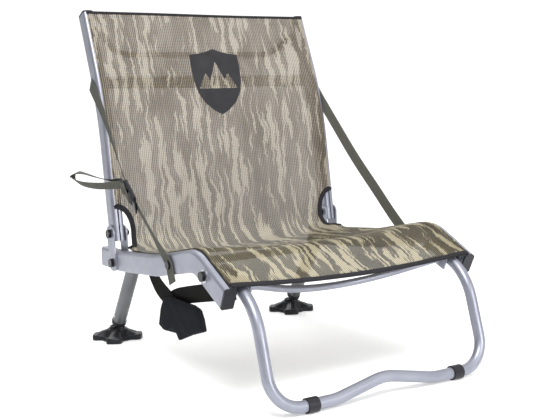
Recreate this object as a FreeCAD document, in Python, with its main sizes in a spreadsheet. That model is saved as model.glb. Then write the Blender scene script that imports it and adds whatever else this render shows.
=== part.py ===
import FreeCAD, Part

import math
import os
from types import SimpleNamespace

import Sketcher
from FreeCAD import Placement, Rotation, Vector

# A low folding field chair.  X points to the sitter's left, the chair faces -Y, Z is up.
# The origin is on the ground, in the plane of symmetry.

SIZES = [
    ("rail_x", 239, "sideways place of the seat rails and back uprights"),
    ("rail_width", 22, "seat rail, across"),
    ("rail_height", 37, "seat rail, upright"),
    ("top_round", 6, "rounding of a rail on the fabric side"),
    ("low_round", 3, "rounding of a rail on its far side"),
    ("rail_wall", 2, "wall of rails and uprights"),
    ("hollow_round", 1.5, "rounding inside rails and uprights"),
    ("slit_width", 2.6, "slit that the fabric passes through"),
    ("slit_lip", 2, "lip beside the slit"),
    ("channel_width", 7, "channel that holds the fabric's edge rod"),
    ("channel_floor", 8.5, "channel floor below the rail's top"),
    ("rail_front_y", -225, "front end of a seat rail"),
    ("rail_front_z", 175, "front end of a seat rail"),
    ("crest_y", -133, "crest of a seat rail"),
    ("crest_z", 221, "crest of a seat rail"),
    ("crest_bend", 60, "bend at the crest"),
    ("dip_y", 15, "bend in the middle of a seat rail"),
    ("dip_z", 192.5, "bend in the middle of a seat rail"),
    ("knee_y", 180, "bend where a seat rail levels out"),
    ("knee_z", 178.5, "bend where a seat rail levels out"),
    ("slow_bend", 300, "radius of the two slow bends"),
    ("rail_rear_y", 258, "rear end of a seat rail"),
    ("upright_width", 21.2, "back upright, across"),
    ("upright_depth", 30, "back upright, front to rear"),
    ("hinge_y", 205, "bolt that the back folds on"),
    ("hinge_z", 228, "bolt that the back folds on"),
    ("upright_foot", 15, "upright below its hinge bolt"),
    ("upright_lean", 8, "backward lean of an upright's lower run"),
    ("upright_low", 235, "hinge bolt to the bend of an upright"),
    ("upright_high", 193, "bend of an upright to its top"),
    ("top_lean", 22.5, "backward lean of an upright's upper run"),
    ("upright_bend", 645, "bend of an upright"),
    ("cap_flange", 3.5, "thickness of a cap's flange"),
    ("cap_plug", 12, "length of a cap's plug"),
    ("plug_fit", 0.1, "clearance round a plug"),
    ("bolt_radius", 4, "hinge and pivot bolts"),
    ("bore_radius", 4.05, "bores for hinge and pivot bolts"),
    ("plate_thick", 3, "hinge plate"),
    ("plate_half", 19, "half width of a hinge plate at its lobes"),
    ("plate_waist", 14.5, "half width of a hinge plate at its waist"),
    ("plate_end", 15.5, "hinge plate beyond each bolt"),
    ("plate_round", 15, "rounding of a hinge plate's ends"),
    ("waist_round", 30, "rounding of a hinge plate's waist"),
    ("leg_pivot_y", 198, "bolt that the rear legs fold on"),
    ("leg_pivot_z", 174, "bolt that the rear legs fold on"),
    ("head_radius", 8, "bolt head"),
    ("head_height", 6, "bolt head"),
    ("nut_radius", 7.5, "nut, centre to corner"),
    ("nut_height", 7, "nut"),
    ("bolt_tip", 2, "bolt end beyond its nut"),
    ("side_gap", 0.4, "gap beside a moving tube"),
    ("spacer_radius", 9, "spacer between a rail and a leg"),
    ("leg_x", 207, "sideways place of the rear legs"),
    ("leg_radius", 13, "rear leg tube"),
    ("leg_wall", 1.5, "wall of the leg tubes"),
    ("leg_above", 14, "rear leg above its pivot"),
    ("leg_length", 163, "rear leg below its pivot"),
    ("leg_lean", 35.4, "rear leg away from the vertical"),
    ("collar_start", 161, "collar at the lower end of a rear leg"),
    ("collar_radius", 14.4, "collar at the lower end of a rear leg"),
    ("collar_height", 7, "collar at the lower end of a rear leg"),
    ("stem_plug", 14, "stem inside the leg tube"),
    ("neck_radius", 4, "neck above a ball"),
    ("ball_reach", 187, "pivot of a rear leg to its ball"),
    ("ball_radius", 9.5, "ball under a rear leg"),
    ("socket_radius", 9.6, "socket round a ball"),
    ("cup_radius", 15, "cup round a ball"),
    ("cup_floor", 12.5, "cup below the ball's centre"),
    ("cup_rim", 2, "cup above the ball's centre"),
    ("foot_bore", 15.1, "bore of a foot round its cup"),
    ("foot_gap", 0.35, "play below a cup"),
    ("foot_sole", 21.5, "sole below the ball's centre"),
    ("foot_hub_top", 0.5, "top of a foot above the ball's centre"),
    ("foot_hub", 20, "foot's cone at its top"),
    ("foot_spread", 72, "foot's cone at the ground"),
    ("toe_reach", 50, "toes of a foot"),
    ("toe_half", 13, "half angle between the corners of a toe"),
    ("toe_round", 9, "rounding of a toe's corners"),
    ("web_reach", 33, "edge of the web between two toes"),
    ("foot_turn", -32, "turn of a foot about the upright through its ball"),
    ("web_round", 26, "hollow of the web between two toes"),
    ("brace_radius", 8, "crossbar between the rear legs"),
    ("brace_below", 25, "rear crossbar below the leg pivot"),
    ("hoop_x", 211, "sideways place of the hoop's legs"),
    ("hoop_radius", 9.5, "hoop tube"),
    ("hoop_pivot_y", -170, "bolt that the hoop folds on"),
    ("hoop_pivot_z", 202, "bolt that the hoop folds on"),
    ("hoop_behind", 12.5, "hoop tube behind its pivot"),
    ("hoop_slope", 23.1, "slope of the hoop's upper run"),
    ("hoop_upper", 92.3, "pivot to the bend of the hoop"),
    ("hoop_bend", 95, "bend of the hoop's legs"),
    ("hoop_lean", 16.7, "lean of the hoop's lower part"),
    ("hoop_drop", 76, "bend of the hoop to the join of its parts"),
    ("hoop_foot", 84.6, "join of the hoop's parts to the ground run"),
    ("hoop_corner", 52, "corner of the hoop at the ground"),
    ("arch_foot", 97, "start of the arch in the ground run"),
    ("arch_rise", 19.5, "rise of the arch's middle corner"),
    ("arch_bend", 110, "bends at the feet of the arch"),
    ("arch_top", 95, "bend at the middle of the arch"),
    ("clip_x", 144, "sideways place of the floor clips"),
    ("clip_length", 20, "floor clip"),
    ("clip_radius", 12, "floor clip, outside"),
    ("clip_bore", 9.55, "floor clip, inside"),
    ("washer_radius", 11, "washer under a hoop pivot's head"),
    ("washer_thick", 1.5, "washer under a hoop pivot's head"),
    ("bar_radius", 6, "front crossbar"),
    ("bar_y", -205, "ends of the front crossbar"),
    ("bar_z", 184, "ends of the front crossbar"),
    ("bar_straight", 14, "level end of a crossbar"),
    ("bar_corner", 24, "bends beside the front crossbar's level ends"),
    ("bar_dip", 92, "dip of the front crossbar's middle corner"),
    ("bar_bend", 290, "middle bend of the front crossbar"),
    ("bar_tilt", 58, "plane of the front crossbar away from the vertical"),
    ("bracket_start", 28.6, "hoop pivot to a bracket"),
    ("bracket_length", 26, "bracket along the hoop's leg"),
    ("bracket_thick", 3, "bracket"),
    ("bracket_over", 0.6, "bracket above the hoop tube"),
    ("bracket_inner", 13, "bracket's inner tab from the hoop's leg"),
    ("bracket_tab", 15, "bracket's inner tab below the hoop's axis"),
    ("bracket_wing", 8, "bracket's outer tab below the hoop's axis"),
    ("bracket_round", 4, "outer rounding of a bracket"),
    ("screw_radius", 3.5, "bracket screw"),
    ("screw_height", 2, "bracket screw"),
    ("screw_pitch", 14, "between the two screws of a bracket"),
    ("back_bar_radius", 7, "back crossbar"),
    ("back_bar_along", 153, "ends of the back crossbar above the upright's bend"),
    ("back_bar_out", 50, "ends of the back crossbar to its bends"),
    ("back_bar_dip", 46, "middle of the back crossbar below its ends"),
    ("back_bar_tilt", 37, "plane of the back crossbar away from the vertical"),
    ("back_bar_bend", 62, "lower bends of the back crossbar"),
    ("back_bar_corner", 16, "bends beside the back crossbar's level ends"),
    ("sling_edge", 238, "fabric, middle to edge"),
    ("sling_flat", 228, "fabric, middle to where it leaves a rail"),
    ("sling_round", 60, "turn of the fabric beside a rail"),
    ("sling_vee", 22, "fabric's sag corner below its edges"),
    ("sling_sag", 2000, "radius of the sagging fabric"),
    ("sling_thick", 2, "fabric"),
    ("soft_gap", 0.3, "gap between fabric and metal"),
    ("sling_rear_y", 150, "rear edge of the seat fabric's flat part"),
    ("back_low", 56.5, "hinge bolt to the lower edge of the back fabric"),
    ("binding_width", 6, "edge binding"),
    ("binding_extra", 0.6, "edge binding prouder than the fabric"),
    ("rod_radius", 2.8, "edge rod of the fabric"),
    ("rod_depth", 5.25, "edge rod below the rail's top"),
    ("rod_end", 8, "edge rod from the end of its run"),
    ("fold_half", 205, "half width of the fabric in the fold"),
    ("fold_y", 193, "corner of the fold between seat and back"),
    ("fold_z", 176, "corner of the fold between seat and back"),
    ("fold_round", 34, "rounding of the fold"),
    ("fold_gap", 2, "gap at the ends of the fold"),
    ("strap_width", 25, "webbing"),
    ("strap_thick", 2, "webbing"),
    ("strap_y", -48, "bolt of a limit strap"),
    ("strap_z", 203, "bolt of a limit strap"),
    ("strap_slope", 43.3, "slope of a limit strap"),
    ("strap_length", 437, "limit strap beyond its bolt"),
    ("strap_tail", 26, "limit strap behind its bolt"),
    ("strap_bolt", 3, "bolt of a limit strap"),
    ("strap_bore", 3.1, "hole of a limit strap"),
    ("strap_bolt_length", 14, "bolt of a limit strap"),
    ("strap_head", 7, "head of a strap bolt"),
    ("strap_head_height", 4, "head of a strap bolt"),
    ("buckle_along", 166, "strap bolt to the buckle"),
    ("buckle_length", 38, "buckle along the strap"),
    ("buckle_width", 33, "buckle across the strap"),
    ("buckle_thick", 5, "buckle"),
    ("tail_out", 58, "how far the strap's loose loop stands out"),
    ("tail_reach", 115, "loose loop, rearward"),
    ("tail_height", 330, "middle of the loose loop above the ground"),
    ("band_along", 58.8, "bend of an upright to the webbing band"),
    ("band_behind", 16, "webbing band behind the upright's axis"),
    ("band_half", 250, "half width of the webbing band"),
    ("carry_x", 190, "carry strap"),
    ("carry_width", 40, "carry strap"),
    ("carry_front_y", -75, "front end of the carry strap's hanging run"),
    ("carry_front_z", 153, "front end of the carry strap's hanging run"),
    ("pad_front_y", 0, "front end of the shoulder pad"),
    ("pad_front_z", 90, "front end of the shoulder pad"),
    ("pad_rear_y", 120, "rear end of the shoulder pad"),
    ("pad_rear_z", 88, "rear end of the shoulder pad"),
    ("pad_width", 44, "shoulder pad"),
    ("pad_thick", 7, "shoulder pad"),
    ("pad_round", 12, "corners of the shoulder pad"),
    ("carry_rear_y", 188, "rear end of the carry strap"),
    ("carry_rear_z", 133, "rear end of the carry strap"),
    ("carry_thick", 2.4, "carry strap"),
    ("carry_gap", 1, "between the pad and its strap"),
    ("rivet_radius", 3, "rivet"),
    ("rivet_height", 1.2, "rivet"),
    ("rivet_along", 150, "leg pivot to the rivet of a foot stem"),
]

LEFT = -1
RIGHT = 1
SIDES = (("left", LEFT), ("right", RIGHT))
ALONG_X = Rotation(Vector(0, 1, 0), 90)
TO_SECTION = Rotation(Vector(0, 0, 1), Vector(0, 1, 0), Vector(-1, 0, 0), "XYZ")
QUARTER = 90
SHEET_AXES = {"x": (-2, "DistanceX"), "y": (-1, "DistanceY")}


class Size:
    """A number together with the sheet formula that gives it."""

    def __init__(self, value, formula):
        self.value = float(value)
        self.formula = formula

    def __add__(self, other):
        other = size(other)
        return Size(self.value + other.value, f"({self.formula} + {other.formula})")

    def __sub__(self, other):
        other = size(other)
        return Size(self.value - other.value, f"({self.formula} - {other.formula})")

    def __mul__(self, other):
        other = size(other)
        return Size(self.value * other.value, f"({self.formula} * {other.formula})")

    def __truediv__(self, other):
        other = size(other)
        return Size(self.value / other.value, f"({self.formula} / {other.formula})")

    def __neg__(self):
        return self * -1

    __radd__ = __add__
    __rmul__ = __mul__


def size(value):
    """Gives a plain number the same form as a size from the sheet."""
    return value if isinstance(value, Size) else Size(value, f"({float(value)})")


def cos(angle):
    return Size(math.cos(math.radians(angle.value)), f"cos({angle.formula})")


def sin(angle):
    return Size(math.sin(math.radians(angle.value)), f"sin({angle.formula})")


def toward(start, end, distance):
    """The point at a distance from start on the way to end."""
    along = end[0] - start[0]
    up = end[1] - start[1]
    run = Size(
        math.hypot(along.value, up.value),
        f"sqrt({along.formula} * {along.formula} + {up.formula} * {up.formula})",
    )
    return start[0] + along * distance / run, start[1] + up * distance / run


def make_sheet(document):
    """Writes the size sheet and returns its sizes by name."""
    sheet = document.addObject("Spreadsheet::Sheet", "Sizes")
    for row, (alias, value, meaning) in enumerate(SIZES, start=1):
        sheet.set(f"A{row}", meaning)
        sheet.set(f"B{row}", str(value))
        sheet.setAlias(f"B{row}", alias)
    document.recompute()
    return SimpleNamespace(**{alias: Size(value, f"Sizes.{alias}") for alias, value, _ in SIZES})


DOC = FreeCAD.newDocument("FieldChair")
S = make_sheet(DOC)
NODES = {}


def keep(name, item):
    """Lists an object as one of the chair's pieces."""
    item.Label = name
    NODES[name] = item
    return item


def place(item, x=0, y=0, z=0, turn=None):
    """Puts an object at a point given by sizes, turned as told."""
    spot = [size(value) for value in (x, y, z)]
    item.Placement = Placement(Vector(*[value.value for value in spot]), turn or Rotation())
    for axis, value in zip("xyz", spot):
        item.setExpression(f"Placement.Base.{axis}", value.formula)
    return item


def new_body(name, x=0, y=0, z=0, turn=None):
    return place(DOC.addObject("PartDesign::Body", name), x, y, z, turn)


def new_sketch(body, name, plane, offset=None):
    """A sketch on one of the body's own planes."""
    sketch = body.newObject("Sketcher::SketchObject", name)
    support = next(item for item in body.Origin.OriginFeatures if item.Role == plane)
    sketch.AttachmentSupport = (support, [""])
    sketch.MapMode = "FlatFace"
    sketch.AttachmentOffset = offset or Placement()
    return sketch


def bind(sketch, constraint, value):
    """Adds a measured constraint and ties it to its formula."""
    index = sketch.addConstraint(constraint)
    sketch.setExpression(f"Constraints[{index}]", value.formula)


def pin(sketch, item, end, x, y):
    """Fixes one end of a sketch item at a point measured from the sketch's origin."""
    for value, (axis, kind) in zip((x, y), SHEET_AXES.values()):
        if value.value == 0:
            sketch.addConstraint(Sketcher.Constraint("PointOnObject", item, end, axis))
        else:
            bind(sketch, Sketcher.Constraint(kind, -1, 1, item, end, value.value), value)


def arc_between(start, end, centre):
    """The shorter arc from start to end, and whether it runs that way round."""
    spoke_in = start - centre
    spoke_out = end - centre
    forward = spoke_in.cross(spoke_out).z > 0
    first, last = (spoke_in, spoke_out) if forward else (spoke_out, spoke_in)
    low = math.atan2(first.y, first.x)
    high = math.atan2(last.y, last.x)
    if high < low:
        high += 2 * math.pi
    circle = Part.Circle(centre, Vector(0, 0, 1), first.Length)
    return Part.ArcOfCircle(circle, low, high), forward


def bend_ends(points, index, radius):
    """Where a bend of the given radius leaves the runs before and after a corner, and its centre."""
    corner = points[index]
    back = (points[index - 1] - corner).normalize()
    ahead = (points[(index + 1) % len(points)] - corner).normalize()
    half = back.getAngle(ahead) / 2
    reach = radius / math.tan(half)
    centre = corner + (back + ahead).normalize() * (radius / math.sin(half))
    return corner + back * reach, corner + ahead * reach, centre


def outline(sketch, corners, closed=True):
    """Draws straight runs through corners (x, y, radius), with a tangent bend at each radius."""
    rows = [[size(value) for value in corner] for corner in corners]
    points = [Vector(x.value, y.value, 0) for x, y, _ in rows]
    count = len(points)
    bends = {i: bend_ends(points, i, row[2].value) for i, row in enumerate(rows) if row[2].value}
    runs = []
    for i in range(count if closed else count - 1):
        after = (i + 1) % count
        start = bends[i][1] if i in bends else points[i]
        end = bends[after][0] if after in bends else points[after]
        runs.append(sketch.addGeometry(Part.LineSegment(start, end), False))
    for i, (x, y, radius) in enumerate(rows):
        if not closed and i == 0:
            pin(sketch, runs[0], 1, x, y)
        elif not closed and i == count - 1:
            pin(sketch, runs[-1], 2, x, y)
        elif i not in bends:
            sketch.addConstraint(Sketcher.Constraint("Coincident", runs[i - 1], 2, runs[i], 1))
            pin(sketch, runs[i], 1, x, y)
        else:
            arc, forward = arc_between(*bends[i])
            bend = sketch.addGeometry(arc, False)
            corner = sketch.addGeometry(Part.Point(points[i]), True)
            inlet, outlet = (1, 2) if forward else (2, 1)
            sketch.addConstraint(
                [
                    Sketcher.Constraint("Tangent", runs[i - 1], 2, bend, inlet),
                    Sketcher.Constraint("Tangent", runs[i], 1, bend, outlet),
                    Sketcher.Constraint("PointOnObject", corner, 1, runs[i - 1]),
                    Sketcher.Constraint("PointOnObject", corner, 1, runs[i]),
                ]
            )
            pin(sketch, corner, 1, x, y)
            bind(sketch, Sketcher.Constraint("Radius", bend, radius.value), radius)


def circle(sketch, radius, x=0, y=0):
    """Draws one circle."""
    x, y = size(x), size(y)
    shape = Part.Circle(Vector(x.value, y.value, 0), Vector(0, 0, 1), radius.value)
    item = sketch.addGeometry(shape, False)
    pin(sketch, item, 3, x, y)
    bind(sketch, Sketcher.Constraint("Radius", item, radius.value), radius)


def tube_section(radius, wall):
    def draw(sketch):
        circle(sketch, radius)
        circle(sketch, radius - wall)

    return draw


def rod_section(radius, x=0, y=0):
    def draw(sketch):
        circle(sketch, radius, x, y)

    return draw


def box_section(width, height):
    def draw(sketch):
        side, top = width / 2, height / 2
        outline(sketch, [(-side, -top, 0), (side, -top, 0), (side, top, 0), (-side, top, 0)])

    return draw


def rail_section(width, height):
    """An extrusion with a rod channel along its top."""

    def draw(sketch):
        side, top = width / 2, height / 2
        slit, channel = S.slit_width / 2, S.channel_width / 2
        lip, floor = top - S.slit_lip, top - S.channel_floor
        right = [
            (side, -top, S.low_round),
            (side, top, S.top_round),
            (slit, top, 0),
            (slit, lip, 0),
            (channel, lip, 0),
            (channel, floor, 0),
        ]
        outline(sketch, right + [(-x, y, radius) for x, y, radius in reversed(right)])
        inside, low, high = side - S.rail_wall, S.rail_wall - top, floor - S.rail_wall
        hollow = [(inside, low, S.hollow_round), (inside, high, S.hollow_round)]
        outline(sketch, hollow + [(-x, y, radius) for x, y, radius in reversed(hollow)])

    return draw


def sling_section(height, thickness, extra=0):
    """Sagging fabric that lies on two rails of the given height."""

    def draw(sketch):
        low = height / 2 + S.soft_gap
        high = low + thickness + extra
        under = [
            (-S.sling_edge, low, 0),
            (-S.sling_flat, low, S.sling_round),
            (0, low - S.sling_vee, S.sling_sag),
            (S.sling_flat, low, S.sling_round),
            (S.sling_edge, low, 0),
        ]
        over = [(x, y + (high - low), radius) for x, y, radius in reversed(under)]
        outline(sketch, under + over)

    return draw


def sweep(body, name, path, section, plane="YZ_Plane", offset=None):
    """Carries a section along a bent path; the section stands square to the path's start."""
    offset = offset or Placement()
    track = new_sketch(body, f"{name}_path", plane, offset)
    outline(track, path, closed=False)
    (x, y), (ahead_x, ahead_y) = [[size(value).value for value in corner[:2]] for corner in path[:2]]
    heading = math.degrees(math.atan2(ahead_y - y, ahead_x - x))
    start = Placement(Vector(x, y, 0), Rotation(Vector(0, 0, 1), heading) * TO_SECTION)
    profile = new_sketch(body, f"{name}_section", plane, offset.multiply(start))
    section(profile)
    pipe = body.newObject("PartDesign::AdditivePipe", f"{name}_pipe")
    pipe.Profile = profile
    pipe.Spine = (track, [])
    body.Tip = pipe
    return pipe


def pad(body, name, plane, draw, length, reverse=False, offset=None):
    """Draws an outline and gives it a thickness."""
    sketch = new_sketch(body, f"{name}_outline", plane, offset)
    draw(sketch)
    feature = body.newObject("PartDesign::Pad", name)
    feature.Profile = sketch
    feature.Reversed = reverse
    feature.setExpression("Length", length.formula)
    body.Tip = feature
    return feature


def bore(body, name, plane, draw):
    """Cuts circles right through a body, both ways from a plane."""
    sketch = new_sketch(body, f"{name}_circles", plane)
    draw(sketch)
    DOC.recompute()
    before = body.Shape.Volume
    feature = body.newObject("PartDesign::Pocket", name)
    feature.Profile = sketch
    feature.Type = "ThroughAll"
    feature.SideType = "Symmetric"
    body.Tip = feature
    DOC.recompute()
    if body.Shape.Volume >= before:
        raise RuntimeError(f"{body.Name}: {name} removed nothing")
    return feature


def cylinder(name, radius, height, x, y, z, turn=None):
    item = DOC.addObject("Part::Cylinder", name)
    item.setExpression("Radius", size(radius).formula)
    item.setExpression("Height", size(height).formula)
    return place(item, x, y, z, turn)


def across(name, side, radius, near, far, y, z):
    """A cylinder along X, from near to far on one side of the chair."""
    start = near if side == RIGHT else -far
    return cylinder(name, radius, far - near, start, y, z, ALONG_X)


def fuse(name, items):
    item = DOC.addObject("Part::MultiFuse", name)
    item.Shapes = items
    return item


def cut(name, base, tool):
    item = DOC.addObject("Part::Cut", name)
    item.Base = base
    item.Tool = tool
    return item


def group(name, items):
    item = DOC.addObject("Part::Compound", name)
    item.Links = items
    return keep(name, item)


def section_turn(heading):
    """Turns a body so that its XY plane stands square to a direction in the chair's side plane."""
    return Rotation(Vector(1, 0, 0), heading + QUARTER)


# Points of the side view, each (y, z).
FRONT = (S.rail_front_y, S.rail_front_z)
CREST = (S.crest_y, S.crest_z)
DIP = (S.dip_y, S.dip_z)
KNEE = (S.knee_y, S.knee_z)
REAR = (S.rail_rear_y, S.knee_z)
HINGE = (S.hinge_y, S.hinge_z)
LEG_PIVOT = (S.leg_pivot_y, S.leg_pivot_z)
HOOP_PIVOT = (S.hoop_pivot_y, S.hoop_pivot_z)


def from_hinge(distance):
    """A point on an upright's lower run, measured from its hinge bolt."""
    return distance * sin(S.upright_lean), distance * cos(S.upright_lean)


UPRIGHT_BEND = from_hinge(S.upright_low)


def above_bend(distance, behind=0):
    """A point on or behind an upright's upper run, measured from its hinge bolt."""
    return (
        UPRIGHT_BEND[0] + distance * sin(S.top_lean) + behind * cos(S.top_lean),
        UPRIGHT_BEND[1] + distance * cos(S.top_lean) - behind * sin(S.top_lean),
    )


UPRIGHT_TOP = above_bend(S.upright_high)


def side_heading(start, end):
    """The direction from one side-view point to another, in degrees above +Y."""
    return math.degrees(math.atan2(end[1].value - start[1].value, end[0].value - start[0].value))


def on_last_run(y):
    """The point of the seat rail's long rear slope at a given Y."""
    return y, DIP[1] + (y - DIP[0]) * (KNEE[1] - DIP[1]) / (KNEE[0] - DIP[0])


def seat_path(start, end):
    """The seat rail's line from a point on its front run to one on its rear slope."""
    return [(*start, 0), (*CREST, S.crest_bend), (*DIP, S.slow_bend), (*end, 0)]


def back_path(start, end):
    """The upright's line between two points on either side of its bend."""
    return [(*start, 0), (*UPRIGHT_BEND, S.upright_bend), (*end, 0)]


def make_seat_rails():
    for name, side in SIDES:
        body = keep(f"seat_rail_{name}", new_body(f"seat_rail_{name}", side * S.rail_x))
        path = seat_path(FRONT, KNEE)[:-1] + [(*KNEE, S.slow_bend), (*REAR, 0)]
        sweep(body, "rail", path, rail_section(S.rail_width, S.rail_height))

        def bores(sketch):
            circle(sketch, S.bore_radius, *LEG_PIVOT)
            circle(sketch, S.bore_radius, *HOOP_PIVOT)

        bore(body, "pivot_bores", "YZ_Plane", bores)
        make_strap_bore(body, side)


def make_strap_bore(body, side):
    """The hole for the strap bolt, in the outer wall only."""
    sketch = new_sketch(body, "strap_circle", "YZ_Plane")
    circle(sketch, S.strap_bore, S.strap_y, S.strap_z)
    feature = body.newObject("PartDesign::Pocket", "strap_hole")
    feature.Profile = sketch
    feature.Reversed = side == RIGHT
    feature.setExpression("Length", S.rail_width.formula)
    body.Tip = feature


def make_cap(name, x, spot, heading, width, height, outward):
    """An end cap: a flange over the end of an extrusion and a plug inside it."""
    body = keep(name, new_body(name, x, *spot, section_turn(heading)))
    side, top = width / 2, height / 2
    inside = side - S.rail_wall - S.plug_fit
    low = S.rail_wall + S.plug_fit - top
    high = top - S.channel_floor - S.rail_wall - S.plug_fit

    def flange(sketch):
        right = [(side, -top, S.low_round), (side, top, S.top_round)]
        outline(sketch, right + [(-x, y, radius) for x, y, radius in reversed(right)])

    def plug(sketch):
        right = [(inside, low, S.hollow_round), (inside, high, S.hollow_round)]
        outline(sketch, right + [(-x, y, radius) for x, y, radius in reversed(right)])

    pad(body, "flange", "XY_Plane", flange, S.cap_flange, not outward)
    pad(body, "plug", "XY_Plane", plug, S.cap_plug, outward)


def make_caps():
    for name, side in SIDES:
        x = side * S.rail_x
        slope = side_heading(FRONT, CREST)
        make_cap(f"front_cap_{name}", x, FRONT, slope, S.rail_width, S.rail_height, True)
        make_cap(f"rear_plug_{name}", x, REAR, 0, S.rail_width, S.rail_height, False)
        top = (HINGE[0] + UPRIGHT_TOP[0], HINGE[1] + UPRIGHT_TOP[1])
        slope = QUARTER - S.top_lean.value
        make_cap(f"upright_cap_{name}", x, top, slope, S.upright_width, S.upright_depth, False)


def make_uprights():
    start = from_hinge(-S.upright_foot)
    for name, side in SIDES:
        body = keep(f"back_upright_{name}", new_body(f"back_upright_{name}", side * S.rail_x, *HINGE))
        sweep(
            body,
            "upright",
            back_path(start, UPRIGHT_TOP),
            rail_section(S.upright_width, S.upright_depth),
        )
        bore(body, "hinge_bore", "YZ_Plane", rod_section(S.bore_radius))


def make_hinge_plates():
    """Two plates on each side of each rail; the back turns between them."""
    reach_y, reach_z = HINGE[0] - LEG_PIVOT[0], HINGE[1] - LEG_PIVOT[1]
    span = Size(
        math.hypot(reach_y.value, reach_z.value),
        f"sqrt({reach_y.formula} * {reach_y.formula} + {reach_z.formula} * {reach_z.formula})",
    )
    turn = Rotation(Vector(1, 0, 0), -math.degrees(math.atan2(reach_y.value, reach_z.value)))

    def plate(sketch):
        right = [
            (S.plate_half, -S.plate_end, S.plate_round),
            (S.plate_waist, span / 2, S.waist_round),
            (S.plate_half, span + S.plate_end, S.plate_round),
        ]
        outline(sketch, right + [(-x, y, radius) for x, y, radius in reversed(right)])
        circle(sketch, S.bore_radius)
        circle(sketch, S.bore_radius, 0, span)

    for name, side in SIDES:
        outer = side * S.rail_x + side * S.rail_width / 2
        inner = side * S.rail_x - side * S.rail_width / 2
        outer_start = outer if side == RIGHT else outer - S.plate_thick
        inner_start = inner - S.plate_thick if side == RIGHT else inner
        for label, start in (("outer", outer_start), ("inner", inner_start)):
            body = keep(
                f"hinge_plate_{label}_{name}",
                new_body(f"hinge_plate_{label}_{name}", start, *LEG_PIVOT, turn),
            )
            pad(body, "plate", "YZ_Plane", plate, S.plate_thick)


def make_bolt(name, side, outer, inner, y, z):
    """A bolt whose head lies on the outer face and whose tip stands past its nut."""
    shank = across(f"{name}_shank", side, S.bolt_radius, inner, outer, y, z)
    head = across(f"{name}_head", side, S.head_radius, outer, outer + S.head_height, y, z)
    return fuse(name, [shank, head])


def make_nut(name, side, near, y, z):
    """A hexagon nut whose inner end is at near."""
    prism = DOC.addObject("Part::Prism", f"{name}_body")
    prism.Polygon = 6
    prism.setExpression("Circumradius", S.nut_radius.formula)
    prism.setExpression("Height", S.nut_height.formula)
    start = near if side == RIGHT else -(near + S.nut_height)
    place(prism, start, y, z, ALONG_X)
    hole = across(f"{name}_bore", side, S.bore_radius, near, near + S.nut_height, y, z)
    return cut(name, prism, hole)


def make_spacer(name, side, near, far, y, z):
    """A sleeve between a rail and a leg."""
    sleeve = across(f"{name}_sleeve", side, S.spacer_radius, near, far, y, z)
    hole = across(f"{name}_bore", side, S.bore_radius, near, far, y, z)
    return cut(name, sleeve, hole)


def make_fasteners():
    rail_outer = S.rail_x + S.rail_width / 2
    rail_inner = S.rail_x - S.rail_width / 2
    plate_outer = rail_outer + S.plate_thick
    plate_inner = rail_inner - S.plate_thick
    leg_inner = S.leg_x - S.leg_radius - S.side_gap
    leg_outer = S.leg_x + S.leg_radius + S.side_gap
    hoop_inner = S.hoop_x - S.hoop_radius - S.side_gap
    hoop_outer = S.hoop_x + S.hoop_radius + S.side_gap
    washer_outer = rail_outer + S.washer_thick
    upper, lower, hoop_bolts, washers, nuts, spacers, straps = [], [], [], [], [], [], []
    for name, side in SIDES:
        near = plate_inner - S.nut_height
        upper.append(make_bolt(f"back_bolt_{name}", side, plate_outer, near - S.bolt_tip, *HINGE))
        nuts.append(make_nut(f"back_nut_{name}", side, near, *HINGE))
        near = leg_inner - S.nut_height
        lower.append(make_bolt(f"leg_bolt_{name}", side, plate_outer, near - S.bolt_tip, *LEG_PIVOT))
        nuts.append(make_nut(f"leg_nut_{name}", side, near, *LEG_PIVOT))
        near = hoop_inner - S.nut_height
        hoop_bolts.append(
            make_bolt(f"hoop_bolt_{name}", side, washer_outer, near - S.bolt_tip, *HOOP_PIVOT)
        )
        nuts.append(make_nut(f"hoop_nut_{name}", side, near, *HOOP_PIVOT))
        disc = across(f"disc_{name}", side, S.washer_radius, rail_outer, washer_outer, *HOOP_PIVOT)
        hole = across(f"disc_bore_{name}", side, S.bore_radius, rail_outer, washer_outer, *HOOP_PIVOT)
        washers.append(cut(f"washer_{name}", disc, hole))
        spacers.append(make_spacer(f"leg_spacer_{name}", side, leg_outer, plate_inner, *LEG_PIVOT))
        spacers.append(make_spacer(f"hoop_spacer_{name}", side, hoop_outer, rail_inner, *HOOP_PIVOT))
        straps.append(make_strap_bolt(name, side, rail_outer))
    group("hinge_bolts_upper", upper)
    group("hinge_bolts_lower", lower)
    group("hoop_pivot_bolts", hoop_bolts)
    group("hoop_pivot_washers", washers)
    group("pivot_nuts", nuts)
    group("pivot_spacers", spacers)
    group("strap_bolts", straps)


def make_strap_bolt(name, side, rail_outer):
    under_head = rail_outer + S.soft_gap * 2 + S.strap_thick
    spot = (S.strap_y, S.strap_z)
    tip = under_head - S.strap_bolt_length
    shank = across(f"strap_shank_{name}", side, S.strap_bolt, tip, under_head, *spot)
    end = under_head + S.strap_head_height
    head = across(f"strap_head_{name}", side, S.strap_head, under_head, end, *spot)
    return fuse(f"strap_bolt_{name}", [shank, head])


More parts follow.
